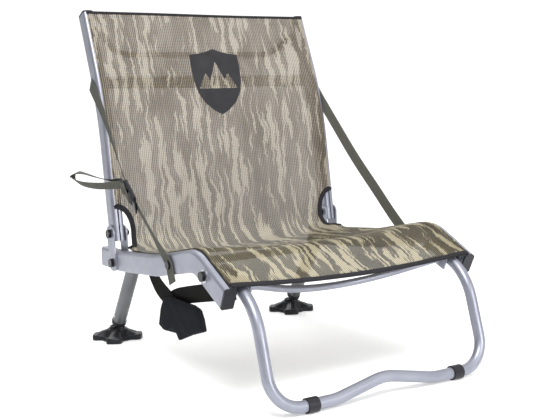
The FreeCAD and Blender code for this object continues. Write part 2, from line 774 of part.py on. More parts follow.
def make_front_crossbar():
    body = keep("front_crossbar", new_body("front_crossbar", 0, S.bar_y, S.bar_z))
    half = S.hoop_x - S.bracket_inner - S.bracket_thick - S.soft_gap
    path = [
        (-half, 0, 0),
        (S.bar_straight - half, 0, S.bar_corner),
        (0, -S.bar_dip, S.bar_bend),
        (half - S.bar_straight, 0, S.bar_corner),
        (half, 0, 0),
    ]
    tilt = Placement(Vector(), Rotation(Vector(1, 0, 0), S.bar_tilt.value))
    sweep(body, "bar", path, tube_section(S.bar_radius, S.leg_wall), "XZ_Plane", tilt)
    screws = []
    for name, side in SIDES:
        start_y = HOOP_PIVOT[0] - S.bracket_start * cos(S.hoop_slope)
        start_z = HOOP_PIVOT[1] - S.bracket_start * sin(S.hoop_slope)
        turn = section_turn(S.hoop_slope.value)
        body = keep(
            f"crossbar_bracket_{name}",
            new_body(f"crossbar_bracket_{name}", side * S.hoop_x, start_y, start_z, turn),
        )
        wall = S.rail_x - S.rail_width / 2 - S.hoop_x
        under = S.hoop_radius + S.bracket_over
        over = under + S.bracket_thick
        inner = S.bracket_inner + S.bracket_thick
        corners = [
            (wall, -S.bracket_wing, 0),
            (wall, over, S.bracket_round),
            (-inner, over, S.bracket_round),
            (-inner, -S.bracket_tab, 0),
            (-S.bracket_inner, -S.bracket_tab, 0),
            (-S.bracket_inner, under, S.hollow_round),
            (wall - S.bracket_thick, under, S.hollow_round),
            (wall - S.bracket_thick, -S.bracket_wing, 0),
        ]

        def profile(sketch):
            outline(sketch, [(side * x, y, radius) for x, y, radius in corners])

        pad(body, "bracket", "XY_Plane", profile, S.bracket_length)
        face = S.rail_x - S.rail_width / 2 - S.bracket_thick
        middle = S.bracket_start + S.bracket_length / 2
        for place_name, step in (("rear", -S.screw_pitch / 2), ("front", S.screw_pitch / 2)):
            y = HOOP_PIVOT[0] - (middle + step) * cos(S.hoop_slope)
            z = HOOP_PIVOT[1] - (middle + step) * sin(S.hoop_slope)
            label = f"screw_{place_name}_{name}"
            screws.append(across(label, side, S.screw_radius, face - S.screw_height, face, y, z))
    group("crossbar_screws", screws)


def make_back_crossbar():
    spot = above_bend(S.back_bar_along)
    y, z = HINGE[0] + spot[0], HINGE[1] + spot[1]
    body = keep("back_crossbar", new_body("back_crossbar", 0, y, z))
    half = S.rail_x - S.upright_width / 2 - S.soft_gap
    path = [
        (-half, 0, 0),
        (S.bar_straight - half, 0, S.back_bar_corner),
        (S.back_bar_out - half, -S.back_bar_dip, S.back_bar_bend),
        (half - S.back_bar_out, -S.back_bar_dip, S.back_bar_bend),
        (half - S.bar_straight, 0, S.back_bar_corner),
        (half, 0, 0),
    ]
    tilt = Placement(Vector(), Rotation(Vector(1, 0, 0), S.back_bar_tilt.value))
    sweep(body, "bar", path, tube_section(S.back_bar_radius, S.leg_wall), "XZ_Plane", tilt)


def make_hoop():
    """One bent tube: two slanting legs and a leaning U that stands on the ground."""
    body = keep("front_hoop", new_body("front_hoop", 0, *HOOP_PIVOT))
    upper = (-S.hoop_upper * cos(S.hoop_slope), -S.hoop_upper * sin(S.hoop_slope))
    join = (
        upper[0] - S.hoop_drop * sin(S.hoop_lean),
        upper[1] - S.hoop_drop * cos(S.hoop_lean),
    )
    end = (S.hoop_behind * cos(S.hoop_slope), S.hoop_behind * sin(S.hoop_slope))
    tube = tube_section(S.hoop_radius, S.leg_wall)
    for name, side in SIDES:
        path = [(*end, 0), (*upper, S.hoop_bend), (*join, 0)]
        at_side = Placement(Vector(0, 0, side * S.hoop_x.value), Rotation())
        sweep(body, f"leg_{name}", path, tube, "YZ_Plane", at_side)
    leaning = Placement(
        Vector(0, join[1].value, -join[0].value),
        Rotation(Vector(1, 0, 0), -S.hoop_lean.value),
    )
    left = [
        (-S.hoop_x, 0, 0),
        (-S.hoop_x, -S.hoop_foot, S.hoop_corner),
        (-S.arch_foot, -S.hoop_foot, S.arch_bend),
    ]
    middle = [(0, S.arch_rise - S.hoop_foot, S.arch_top)]
    path = left + middle + [(-x, y, radius) for x, y, radius in reversed(left)]
    sweep(body, "ground", path, tube, "XZ_Plane", leaning)
    bore(body, "pivot_bore", "YZ_Plane", rod_section(S.bore_radius))
    base_y = HOOP_PIVOT[0] + join[0] - S.hoop_foot * sin(S.hoop_lean)
    base_z = HOOP_PIVOT[1] + join[1] - S.hoop_foot * cos(S.hoop_lean)
    for name, side in SIDES:
        near, far = S.clip_x - S.clip_length / 2, S.clip_x + S.clip_length / 2
        sleeve = across(f"clip_sleeve_{name}", side, S.clip_radius, near, far, base_y, base_z)
        hole = across(f"clip_bore_{name}", side, S.clip_bore, near, far, base_y, base_z)
        keep(f"floor_clip_{name}", cut(f"floor_clip_{name}", sleeve, hole))


def along_leg(distance):
    """A point on a rear leg's axis, measured from its pivot."""
    return (
        LEG_PIVOT[0] + distance * sin(S.leg_lean),
        LEG_PIVOT[1] - distance * cos(S.leg_lean),
    )


def make_rear_legs():
    turn = Rotation(Vector(1, 0, 0), S.leg_lean.value)
    rivets = []
    for name, side in SIDES:
        x = side * S.leg_x
        body = keep(f"rear_leg_{name}", new_body(f"rear_leg_{name}", x, *LEG_PIVOT, turn))
        above = Placement(Vector(0, 0, S.leg_above.value), Rotation())
        tube = tube_section(S.leg_radius, S.leg_wall)
        pad(body, "tube", "XY_Plane", tube, S.leg_length + S.leg_above, True, above)
        bore(body, "pivot_bore", "YZ_Plane", rod_section(S.bore_radius))
        make_stem(name, x, turn)
        outer = S.leg_x + S.leg_radius
        spot = along_leg(S.rivet_along)
        for label, near in (("inner", S.leg_x - S.leg_radius - S.rivet_height), ("outer", outer)):
            far = near + S.rivet_height
            rivets.append(across(f"rivet_{label}_{name}", side, S.rivet_radius, near, far, *spot))
    group("leg_rivets", rivets)
    body = keep("rear_crossbar", new_body("rear_crossbar", 0, *along_leg(S.brace_below)))
    half = S.leg_x - S.leg_radius
    path = [(-half, 0, 0), (half, 0, 0)]
    sweep(body, "bar", path, tube_section(S.brace_radius, S.leg_wall), "XZ_Plane")


def make_stem(name, x, turn):
    """The plug, collar, neck and ball at the end of a rear leg."""
    plug_radius = S.leg_radius - S.leg_wall - S.plug_fit
    parts = [
        (plug_radius, S.stem_plug, S.leg_length),
        (S.collar_radius, S.collar_height, S.leg_length + S.collar_height),
        (S.neck_radius, S.ball_reach - S.leg_length, S.ball_reach),
    ]
    pieces = []
    for number, (radius, height, low_end) in enumerate(parts):
        spot = along_leg(low_end)
        pieces.append(cylinder(f"stem_{name}_{number}", radius, height, x, *spot, turn))
    ball = DOC.addObject("Part::Sphere", f"stem_ball_{name}")
    ball.setExpression("Radius", S.ball_radius.formula)
    pieces.append(place(ball, x, *along_leg(S.ball_reach)))
    keep(f"foot_stem_{name}", fuse(f"foot_stem_{name}", pieces))


def polar(radius, angle):
    return radius * cos(angle), radius * sin(angle)


def make_feet():
    """A ball cup under each rear leg, and a webbed foot that turns round the cup."""
    ball_y, ball_z = along_leg(S.ball_reach)
    for name, side in SIDES:
        x = side * S.leg_x
        cup = cylinder(
            f"cup_body_{name}", S.cup_radius, S.cup_floor + S.cup_rim, x, ball_y, ball_z - S.cup_floor
        )
        hollow = DOC.addObject("Part::Sphere", f"cup_hollow_{name}")
        hollow.setExpression("Radius", S.socket_radius.formula)
        place(hollow, x, ball_y, ball_z)
        keep(f"foot_cup_{name}", cut(f"foot_cup_{name}", cup, hollow))
        make_foot(name, x, ball_y, ball_z)


def make_foot(name, x, ball_y, ball_z):
    height = S.foot_sole + S.foot_hub_top
    sole = ball_z - S.foot_sole
    turn = Rotation(Vector(0, 0, 1), S.foot_turn.value)
    body = new_body(f"foot_star_{name}", x, ball_y, sole, turn)

    def star(sketch):
        corners = []
        for toe in range(4):
            middle = size(toe * QUARTER)
            corners.append((*polar(S.toe_reach, middle - S.toe_half), S.toe_round))
            corners.append((*polar(S.toe_reach, middle + S.toe_half), S.toe_round))
            corners.append((*polar(S.web_reach, middle + QUARTER / 2), S.web_round))
        outline(sketch, corners)

    pad(body, "star", "XY_Plane", star, height)
    cone = DOC.addObject("Part::Cone", f"foot_cone_{name}")
    cone.setExpression("Radius1", S.foot_spread.formula)
    cone.setExpression("Radius2", S.foot_hub.formula)
    cone.setExpression("Height", height.formula)
    place(cone, x, ball_y, sole)
    shaped = DOC.addObject("Part::Common", f"foot_shaped_{name}")
    shaped.Base = body
    shaped.Tool = cone
    floor = ball_z - S.cup_floor - S.foot_gap
    hole = cylinder(f"foot_hole_{name}", S.foot_bore, height, x, ball_y, floor)
    keep(f"foot_{name}", cut(f"foot_{name}", shaped, hole))


def make_seat_fabric():
    edge = toward(FRONT, CREST, S.binding_width)
    body = keep("seat_sling", new_body("seat_sling"))
    path = seat_path(edge, on_last_run(S.sling_rear_y))
    sweep(body, "sling", path, sling_section(S.rail_height, S.sling_thick))
    body = keep("front_binding", new_body("front_binding"))
    path = [(*FRONT, 0), (*edge, 0)]
    sweep(body, "binding", path, sling_section(S.rail_height, S.sling_thick, S.binding_extra))
    rods = []
    for name, side in SIDES:
        body = new_body(f"seat_rod_{name}", side * S.rail_x)
        path = seat_path(toward(FRONT, CREST, S.rod_end), on_last_run(S.sling_rear_y + S.rod_end))
        rod = rod_section(S.rod_radius, 0, S.rail_height / 2 - S.rod_depth)
        sweep(body, "rod", path, rod)
        rods.append(body)
    group("seat_edge_rods", rods)


def make_back_fabric():
    edge = toward(UPRIGHT_TOP, UPRIGHT_BEND, S.binding_width)
    body = keep("back_sling", new_body("back_sling", 0, *HINGE))
    path = back_path(from_hinge(S.back_low), edge)
    sweep(body, "sling", path, sling_section(S.upright_depth, S.sling_thick))
    body = keep("top_binding", new_body("top_binding", 0, *HINGE))
    path = [(*edge, 0), (*UPRIGHT_TOP, 0)]
    sweep(body, "binding", path, sling_section(S.upright_depth, S.sling_thick, S.binding_extra))
    rods = []
    for name, side in SIDES:
        body = new_body(f"back_rod_{name}", side * S.rail_x, *HINGE)
        end = toward(UPRIGHT_TOP, UPRIGHT_BEND, S.rod_end)
        path = back_path(from_hinge(S.back_low), end)
        rod = rod_section(S.rod_radius, 0, S.upright_depth / 2 - S.rod_depth)
        sweep(body, "rod", path, rod)
        rods.append(body)
    group("back_edge_rods", rods)


def make_sling_fold():
    """The fabric where the seat turns up into the back, free of the rails at both sides."""
    lift = S.rail_height / 2 + S.soft_gap + S.sling_thick / 2
    start = on_last_run(S.sling_rear_y + S.fold_gap)
    front = S.upright_depth / 2 + S.soft_gap + S.sling_thick / 2
    low = from_hinge(S.back_low - S.fold_gap)
    body = keep("sling_fold", new_body("sling_fold"))
    path = [
        (start[0], start[1] + lift - S.sling_vee / 2, 0),
        (S.fold_y, S.fold_z, S.fold_round),
        (HINGE[0] + low[0] - front + S.sling_vee / 2, HINGE[1] + low[1], 0),
    ]
    sweep(body, "fold", path, box_section(S.fold_half * 2, S.sling_thick))


def make_limit_straps():
    """Flat webbing outside the rails, from a bolt on the rail to behind the upright."""
    for name, side in SIDES:
        start = side * (S.rail_x + S.rail_width / 2 + S.soft_gap)
        if side == LEFT:
            start = start - S.strap_thick
        turn = Rotation(Vector(1, 0, 0), S.strap_slope.value)
        label = f"limit_strap_{name}"
        body = keep(label, new_body(label, start, S.strap_y, S.strap_z, turn))

        def band(sketch):
            half = S.strap_width / 2
            outline(
                sketch,
                [
                    (-S.strap_tail, -half, 0),
                    (S.strap_length, -half, 0),
                    (S.strap_length, half, 0),
                    (-S.strap_tail, half, 0),
                ],
            )
            circle(sketch, S.strap_bore)

        pad(body, "band", "YZ_Plane", band, S.strap_thick)
    make_buckle(turn)
    behind = above_bend(S.band_along, S.band_behind + S.strap_thick / 2)
    band = DOC.addObject("Part::Box", "back_band")
    band.setExpression("Length", (S.band_half * 2).formula)
    band.setExpression("Width", S.strap_thick.formula)
    band.setExpression("Height", S.strap_width.formula)
    turn = Rotation(Vector(1, 0, 0), -S.top_lean.value)
    y = HINGE[0] + behind[0] - S.strap_width / 2 * sin(S.top_lean)
    z = HINGE[1] + behind[1] - S.strap_width / 2 * cos(S.top_lean)
    keep("back_band", place(band, -S.band_half, y, z, turn))


def make_buckle(turn):
    """The ladder buckle on the left strap, and the loose loop of webbing beyond it."""
    face = S.rail_x + S.rail_width / 2 + S.soft_gap * 2 + S.strap_thick
    y = S.strap_y + S.buckle_along * cos(S.strap_slope) + S.buckle_width / 2 * sin(S.strap_slope)
    z = S.strap_z + S.buckle_along * sin(S.strap_slope) - S.buckle_width / 2 * cos(S.strap_slope)
    buckle = DOC.addObject("Part::Box", "strap_buckle")
    buckle.setExpression("Length", S.buckle_thick.formula)
    buckle.setExpression("Width", S.buckle_length.formula)
    buckle.setExpression("Height", S.buckle_width.formula)
    keep("strap_buckle", place(buckle, -(face + S.buckle_thick), y, z, turn))
    y = S.strap_y + (S.buckle_along + S.buckle_length) * cos(S.strap_slope)
    body = keep("strap_tail_loop", new_body("strap_tail_loop", 0, y, S.tail_height))
    near = face + S.buckle_thick + S.strap_thick
    path = [(-near, 0, 0), (-(near + S.tail_out), S.tail_reach, 0)]
    sweep(body, "loop", path, box_section(S.strap_width, S.strap_thick), "XY_Plane")


def make_carry_strap():
    """A strap and a shoulder pad that hang below the seat's left side."""
    body = keep("carry_pad", new_body("carry_pad", -S.carry_x - S.pad_thick / 2))

    def pad_outline(sketch):
        low = S.pad_front_z - S.pad_width / 2
        high = S.pad_front_z + S.pad_width / 2
        outline(
            sketch,
            [
                (S.pad_front_y, low, S.pad_round),
                (S.pad_rear_y, S.pad_rear_z - S.pad_width / 2, S.pad_round),
                (S.pad_rear_y, S.pad_rear_z + S.pad_width / 2, S.pad_round),
                (S.pad_front_y, high, S.pad_round),
            ],
        )

    pad(body, "pad", "YZ_Plane", pad_outline, S.pad_thick)
    body = keep("carry_strap", new_body("carry_strap", -S.carry_x - S.carry_thick / 2))
    half = S.carry_width / 2
    for name, top, edge, low in (
        ("front", (S.carry_front_y, S.carry_front_z), S.pad_front_y - S.carry_gap, S.pad_front_z),
        ("rear", (S.carry_rear_y, S.carry_rear_z), S.pad_rear_y + S.carry_gap, S.pad_rear_z),
    ):

        def run(sketch):
            outline(
                sketch,
                [
                    (top[0], top[1] - half, 0),
                    (edge, low - half, 0),
                    (edge, low + half, 0),
                    (top[0], top[1] + half, 0),
                ],
            )

        pad(body, f"{name}_run", "YZ_Plane", run, S.carry_thick)


def check_all():
    """Stops on any object that failed and on any piece that is empty or not valid."""
    for item in DOC.Objects:
        if {"Invalid", "Error"} & set(item.State):
            raise RuntimeError(f"{item.Name} failed: {item.State}")
    for name, item in NODES.items():
        if item.Shape.isNull() or not item.Shape.isValid():
            raise RuntimeError(f"{name} has no valid shape")


def main():
    make_seat_rails()
    make_uprights()
    make_caps()
    make_hinge_plates()
    make_fasteners()
    make_front_crossbar()
    make_back_crossbar()
    make_hoop()
    make_rear_legs()
    make_feet()
    make_seat_fabric()
    make_back_fabric()
    make_sling_fold()
    make_limit_straps()
    make_carry_strap()
    DOC.recompute()
    check_all()
    os.makedirs("parts", exist_ok=True)
    for name, item in NODES.items():
        item.Shape.exportStep(f"parts/{name}.step")
        print(name, len(item.Shape.Solids), round(item.Shape.Volume / 1000, 2))


main()
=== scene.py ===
import math

import bpy
import numpy as np
from mathutils import Matrix, Vector


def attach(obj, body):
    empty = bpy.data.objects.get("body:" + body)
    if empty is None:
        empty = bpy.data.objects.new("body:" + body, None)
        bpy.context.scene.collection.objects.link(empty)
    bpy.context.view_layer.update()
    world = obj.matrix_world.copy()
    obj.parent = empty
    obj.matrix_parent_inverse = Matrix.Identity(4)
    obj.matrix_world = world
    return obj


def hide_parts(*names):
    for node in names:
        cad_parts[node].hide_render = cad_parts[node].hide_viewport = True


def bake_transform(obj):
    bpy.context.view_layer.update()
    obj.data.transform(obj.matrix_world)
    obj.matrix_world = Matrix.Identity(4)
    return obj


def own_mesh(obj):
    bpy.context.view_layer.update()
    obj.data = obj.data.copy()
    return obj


# A low folding field chair on a bent tube frame.  Metres; X sideways, the chair faces -Y, Z up.

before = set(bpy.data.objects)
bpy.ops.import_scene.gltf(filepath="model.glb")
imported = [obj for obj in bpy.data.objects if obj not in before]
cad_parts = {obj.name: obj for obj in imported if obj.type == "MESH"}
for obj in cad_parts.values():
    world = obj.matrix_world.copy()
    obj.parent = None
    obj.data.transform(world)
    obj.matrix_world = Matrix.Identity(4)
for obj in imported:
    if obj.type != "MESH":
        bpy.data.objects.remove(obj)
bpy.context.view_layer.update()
SIDES = (("left", -1), ("right", 1))
HINGE = np.array((0.205, 0.228))
LOW_LEAN = math.radians(8)
TOP_LEAN = math.radians(22.5)
SEAT_LINE = ((-0.225, 0.175), (-0.133, 0.221), (0.015, 0.1925), (0.1835, 0.1782))
RAIL_BENDS = (0.060, 0.300)
UPRIGHT_LOW, UPRIGHT_HIGH, UPRIGHT_BEND = 0.235, 0.193, 0.645

# The sling: half widths on the back, on the seat and of the part that sags; its sag;
# the length along it at which the seat's cloth gives way to the back's.
EDGE = 0.2455
SEAT_EDGE = 0.238
FLAT = 0.229
SAG = 0.0122
SEAT_CLOTH = 0.395
SEAT_LIFT, BACK_LIFT, FOLD_BEND = 0.0198, 0.0163, 0.034
SEAT_END_Y, BACK_START_Z = 0.140, 0.262
CLOTH_PITCH = 0.0040


# ---------------------------------------------------------------- lines and curves


def bent(corners, step=0.002):
    """Evenly spaced points along straight runs through corners (..., radius), rounded at each corner."""
    points = [np.array(c[:-1], float) for c in corners]
    found = [points[0]]
    for before, corner, after, radius in zip(points, points[1:], points[2:], [c[-1] for c in corners[1:]]):
        back = (before - corner) / np.linalg.norm(before - corner)
        ahead = (after - corner) / np.linalg.norm(after - corner)
        half = math.acos(np.clip(back @ ahead, -1, 1)) / 2
        reach = radius / math.tan(half)
        middle = (back + ahead) / np.linalg.norm(back + ahead)
        centre = corner + middle * radius / math.sin(half)
        first, last = corner + back * reach - centre, corner + ahead * reach - centre
        turn = math.pi - 2 * half
        count = max(3, int(turn * radius / step))
        for i in range(count + 1):
            a = turn * i / count
            found.append(centre + (first * math.sin(turn - a) + last * math.sin(a)) / math.sin(turn))
    found.append(points[-1])
    return resampled(np.array(found), step)


def resampled(points, step):
    """The same line with points at even distances."""
    lengths = np.concatenate([[0], np.cumsum(np.linalg.norm(np.diff(points, axis=0), axis=1))])
    count = max(2, int(round(lengths[-1] / step)) + 1)
    even = np.linspace(0, lengths[-1], count)
    return np.stack([np.interp(even, lengths, points[:, k]) for k in range(points.shape[1])], axis=1)


def smooth(points, step):
    """A smooth line through a few points (Catmull-Rom), evenly spaced."""
    p = np.array(points, float)
    p = np.vstack([2 * p[0] - p[1], p, 2 * p[-1] - p[-2]])
    found = []
    for a, b, c, d in zip(p, p[1:], p[2:], p[3:]):
        for t in np.linspace(0, 1, 24, endpoint=False):
            square, cube = 2 * a - 5 * b + 4 * c - d, 3 * b - a - 3 * c + d
            found.append(0.5 * (2 * b + (c - a) * t + square * t * t + cube * t**3))
    found.append(p[-2])
    return resampled(np.array(found), step)


def directions(points):
    """The direction of a line at each of its points."""
    d = np.gradient(points, axis=0)
    return d / np.linalg.norm(d, axis=1)[:, None]


def unit(v):
    """The vector, or each of several, at length one."""
    v = np.array(v, float)
    return v / np.linalg.norm(v, axis=-1, keepdims=True)


# ---------------------------------------------------------------- meshes


def mesh_object(name, vertices, faces, material, uvs=None, smooth_shaded=True):
    """A mesh in the scene, at the origin, with one material and perhaps a UV map."""
    mesh = bpy.data.meshes.new(name)
    mesh.from_pydata([tuple(map(float, v)) for v in vertices], [], [tuple(f) for f in faces])
    mesh.materials.append(material)
    mesh.validate()
    if uvs is not None:
        layer = mesh.uv_layers.new(name="UVMap")
        for loop in mesh.loops:
            layer.data[loop.index].uv = uvs[loop.vertex_index]
    if smooth_shaded:
        mesh.polygons.foreach_set("use_smooth", [True] * len(mesh.polygons))
        mesh.set_sharp_from_angle(angle=math.radians(38))
    obj = bpy.data.objects.new(name, mesh)
    bpy.context.scene.collection.objects.link(obj)
    return obj


def swept(name, points, sideways, profile, material, closed=False):
    """Carries a closed profile (across, out) along points; sideways is the across direction at each."""
    points = np.array(points, float)
    along = directions(points)
    if closed:
        wide = np.vstack([points[-2:], points, points[:2]])
        along = directions(wide)[2:-2]
    across = np.broadcast_to(np.array(sideways, float), points.shape)
    across = unit(across - along * np.sum(across * along, axis=1)[:, None])
    out = np.cross(along, across)
    profile = np.array(profile, float)
    k, n = len(profile), len(points)
    vertices = (
        points[:, None] + across[:, None] * profile[None, :, :1] + out[:, None] * profile[None, :, 1:]
    ).reshape(-1, 3)
    lengths = np.concatenate([[0], np.cumsum(np.linalg.norm(np.diff(points, axis=0), axis=1))])
    uvs = [(profile[j][0], lengths[i]) for i in range(n) for j in range(k)]
    faces = []
    for i in range(n if closed else n - 1):
        for j in range(k):
            a, b = i * k + j, i * k + (j + 1) % k
            c, d = ((i + 1) % n) * k + (j + 1) % k, ((i + 1) % n) * k + j
            faces.append((a, b, c, d))
    if not closed:
        faces.append(tuple(range(k))[::-1])
        faces.append(tuple((n - 1) * k + j for j in range(k)))
    return mesh_object(name, vertices, faces, material, uvs)


def band_profile(width, thick, round_to=0.35):
    """A flat webbing section with softened edges."""
    w, t = width / 2, thick / 2
    r = min(t, w) * round_to
    low = [(-w, -t + r), (-w + r, -t), (w - r, -t), (w, -t + r)]
    return low + [(w, t - r), (w - r, t), (-w + r, t), (-w, t - r)]


def ring_profile(radius, count):
    """A round section."""
    angles = [2 * math.pi * j / count for j in range(count)]
    return [(radius * math.cos(a), radius * math.sin(a)) for a in angles]


def ribbon(name, points, sideways, width, thick, material):
    """A flat band along points."""
    return swept(name, points, sideways, band_profile(width, thick), material)


def settle(obj, matrix):
    """Moves a mesh's own vertices, so that the object itself stays at the origin."""
    obj.data.transform(matrix)
    return obj


def joined(name, objects):
    """Several meshes as one object."""
    merged = bpy.data.objects.new(name, bpy.data.meshes.new(name))
    bpy.context.scene.collection.objects.link(merged)
    bpy.ops.object.select_all(action="DESELECT")
    for obj in [*objects, merged]:
        obj.select_set(True)
    bpy.context.view_layer.objects.active = merged
    bpy.ops.object.join()
    return merged


# ---------------------------------------------------------------- materials


class Nodes:
    """A short way to build a procedural material."""

    def __init__(self, name):
        self.material = bpy.data.materials.new(name)
        self.material.use_nodes = True
        self.tree = self.material.node_tree
        self.shader = self.tree.nodes["Principled BSDF"]

    def add(self, kind, **settings):
        node = self.tree.nodes.new(kind)
        for key, value in settings.items():
            if hasattr(node, key):
                setattr(node, key, value)
            else:
                node.inputs[key.replace("_", " ")].default_value = value
        return node

    def link(self, source, target):
        self.tree.links.new(source, target)

    def set(self, **values):
        for key, value in values.items():
            self.shader.inputs[key.replace("_", " ")].default_value = value

    def math(self, operation, a, b=None, c=None):
        node = self.add("ShaderNodeMath", operation=operation)
        for socket, value in zip(node.inputs, (a, b, c)):
            if value is None:
                continue
            if isinstance(value, (int, float)):
                socket.default_value = value
            else:
                self.link(value, socket)
        return node.outputs[0]

    def ramp(self, factor, stops):
        node = self.add("ShaderNodeValToRGB")
        while len(node.color_ramp.elements) < len(stops):
            node.color_ramp.elements.new(0.5)
        for element, (place, color) in zip(node.color_ramp.elements, stops):
            element.position = place
            element.color = (*color, 1) if len(color) == 3 else color
        self.link(factor, node.inputs["Fac"])
        return node.outputs["Color"]

    def mix(self, factor, a, b, blend="MIX"):
        node = self.add("ShaderNodeMix", data_type="RGBA", blend_type=blend)
        sockets = (node.inputs["Factor"], node.inputs[6], node.inputs[7])
        for socket, value in zip(sockets, (factor, a, b)):
            if isinstance(value, (int, float)):
                socket.default_value = value
            elif isinstance(value, tuple):
                socket.default_value = (*value, 1)
            else:
                self.link(value, socket)
        return node.outputs[2]

    def bump(self, height, strength, distance):
        node = self.add("ShaderNodeBump", Strength=strength, Distance=distance)
        self.link(height, node.inputs["Height"])
        self.link(node.outputs["Normal"], self.shader.inputs["Normal"])

    def noise(self, vector, scale, detail, roughness=0.5):
        node = self.add("ShaderNodeTexNoise", Scale=scale, Detail=detail, Roughness=roughness)
        self.link(vector, node.inputs["Vector"])
        return node.outputs["Fac"]

    def stretched(self, vector, scale):
        node = self.add("ShaderNodeMapping")
        node.inputs["Scale"].default_value = scale
        self.link(vector, node.inputs["Vector"])
        return node.outputs["Vector"]


def coated_metal(name, low, high):
    """A satin coat, with a fine grain and faint handling marks."""
    n = Nodes(name)
    spot = n.add("ShaderNodeTexCoord").outputs["Object"]
    broad = n.noise(spot, 22, 3)
    color = n.ramp(broad, [(0.3, low), (0.7, high)])
    n.link(color, n.shader.inputs["Base Color"])
    n.set(Metallic=0.62)
    rough = n.noise(spot, 60, 4)
    n.link(n.ramp(rough, [(0.35, (0.34,) * 3), (0.7, (0.44,) * 3)]), n.shader.inputs["Roughness"])
    n.bump(n.noise(spot, 1400, 2), 0.05, 0.0002)
    return n.material


def plain(name, color, roughness, metallic=0.0, grain=900, grain_strength=0.15, specular=0.5):
    """A moulded or plated finish with a fine grain."""
    n = Nodes(name)
    spot = n.add("ShaderNodeTexCoord").outputs["Object"]
    wear = n.noise(spot, 40, 4)
    low = tuple(c * 0.85 for c in color)
    high = tuple(min(1, c * 1.2) for c in color)
    n.link(n.ramp(wear, [(0.3, low), (0.75, high)]), n.shader.inputs["Base Color"])
    n.set(Metallic=metallic, Roughness=roughness)
    n.shader.inputs["Specular IOR Level"].default_value = specular
    n.bump(n.noise(spot, grain, 2), grain_strength, 0.0003)
    return n.material


def mesh_cloth():
    """See-through woven mesh, printed with thin upright bark streaks, with painted shade on the seat."""
    n = Nodes("mesh_cloth")
    uv = n.add("ShaderNodeUVMap", uv_map="UVMap").outputs["UV"]
    slow = n.noise(n.stretched(uv, (14, 17, 1)), 1.0, 2)
    jag = n.noise(n.stretched(uv, (70, 150, 1)), 1.0, 2)
    wander = n.math("ADD", n.math("MULTIPLY", slow, 0.030), n.math("MULTIPLY", jag, 0.0085))
    split = n.add("ShaderNodeSeparateXYZ")
    n.link(uv, split.inputs[0])
    moved = n.add("ShaderNodeCombineXYZ")
    n.link(n.math("ADD", split.outputs[0], wander), moved.inputs[0])
    n.link(split.outputs[1], moved.inputs[1])
    placed = moved.outputs[0]

    def streaks(scale, seed, low, high, detail=1.0):
        shifted = n.add("ShaderNodeVectorMath", operation="ADD")
        n.link(n.stretched(placed, scale), shifted.inputs[0])
        shifted.inputs[1].default_value = (seed, seed * 0.7, seed)
        value = n.noise(shifted.outputs[0], 1.0, detail, 0.45)
        return n.ramp(value, [(low, (0, 0, 0)), (high, (1, 1, 1))])

    broad = n.noise(n.stretched(uv, (9, 6, 1)), 1.0, 2)
    browns = [(0.36, (0.136, 0.112, 0.080)), (0.50, (0.184, 0.156, 0.122)), (0.66, (0.220, 0.192, 0.158))]
    base = n.ramp(broad, browns)
    base = n.mix(n.math("MULTIPLY", streaks((95, 12, 1), 7.3, 0.50, 0.60), 0.35), base, (0.310, 0.275, 0.222))
    base = n.mix(n.math("MULTIPLY", streaks((60, 8, 1), 3.1, 0.54, 0.60), 0.50), base, (0.165, 0.142, 0.108))
    # Painted shade on the seat: from the fold forward the base turns to darker browns and the weave's dark
    # hatch deepens, for the shade on the seat and beneath it. The seat's streaks are also yellower and
    # stronger.
    seat = n.ramp(split.outputs[1], [(SEAT_CLOTH - 0.03, (1, 1, 1)), (SEAT_CLOTH + 0.10, (0, 0, 0))])
    under = n.ramp(broad, [(0.38, (0.060, 0.050, 0.026)), (0.62, (0.118, 0.101, 0.062))])
    base = n.mix(seat, base, under)
    wide = streaks((54, 8.0, 1), 11.9, 0.605, 0.630, 2.0)
    thin = streaks((92, 8.0, 1), 19.4, 0.595, 0.625, 1.5)
    third = streaks((92, 6.5, 1), 33.7, 0.600, 0.630, 1.5)
    light = n.math("MAXIMUM", n.math("MAXIMUM", wide, thin), third)
    pale = n.mix(seat, n.mix(broad, (0.372, 0.332, 0.262), (0.418, 0.382, 0.325)), (0.392, 0.348, 0.232))
    color = n.mix(n.math("MULTIPLY", light, n.math("MULTIPLY_ADD", seat, 0.12, 0.82)), base, pale)
    rate = 2 * math.pi / CLOTH_PITCH
    warp = n.math("SINE", n.math("MULTIPLY", split.outputs[0], rate))
    weft = n.math("SINE", n.math("MULTIPLY", split.outputs[1], rate * 1.25))
    weave = n.math("ADD", n.math("MULTIPLY", warp, 0.62), n.math("MULTIPLY", weft, 0.38))
    holes = n.math("MULTIPLY_ADD", weave, 0.5, 0.5)
    shade = n.ramp(holes, [(0.26, (0.16, 0.15, 0.14)), (0.62, (1.20, 1.20, 1.20))])
    seat_painted_shade_hatch = n.ramp(holes, [(0.30, (0.10, 0.09, 0.07)), (0.64, (1.25, 1.25, 1.25))])
    shade = n.mix(seat, shade, seat_painted_shade_hatch)
    depth = n.math("MULTIPLY_ADD", light, -0.35, 1.0)
    color = n.mix(1.0, color, n.mix(depth, (1.0, 1.0, 1.0), shade), "MULTIPLY")
    n.link(color, n.shader.inputs["Base Color"])
    n.set(Roughness=0.75, Alpha=0.72)
    n.shader.inputs["Specular IOR Level"].default_value = 0.30
    n.bump(holes, 0.30, 0.0005)
    return n.material


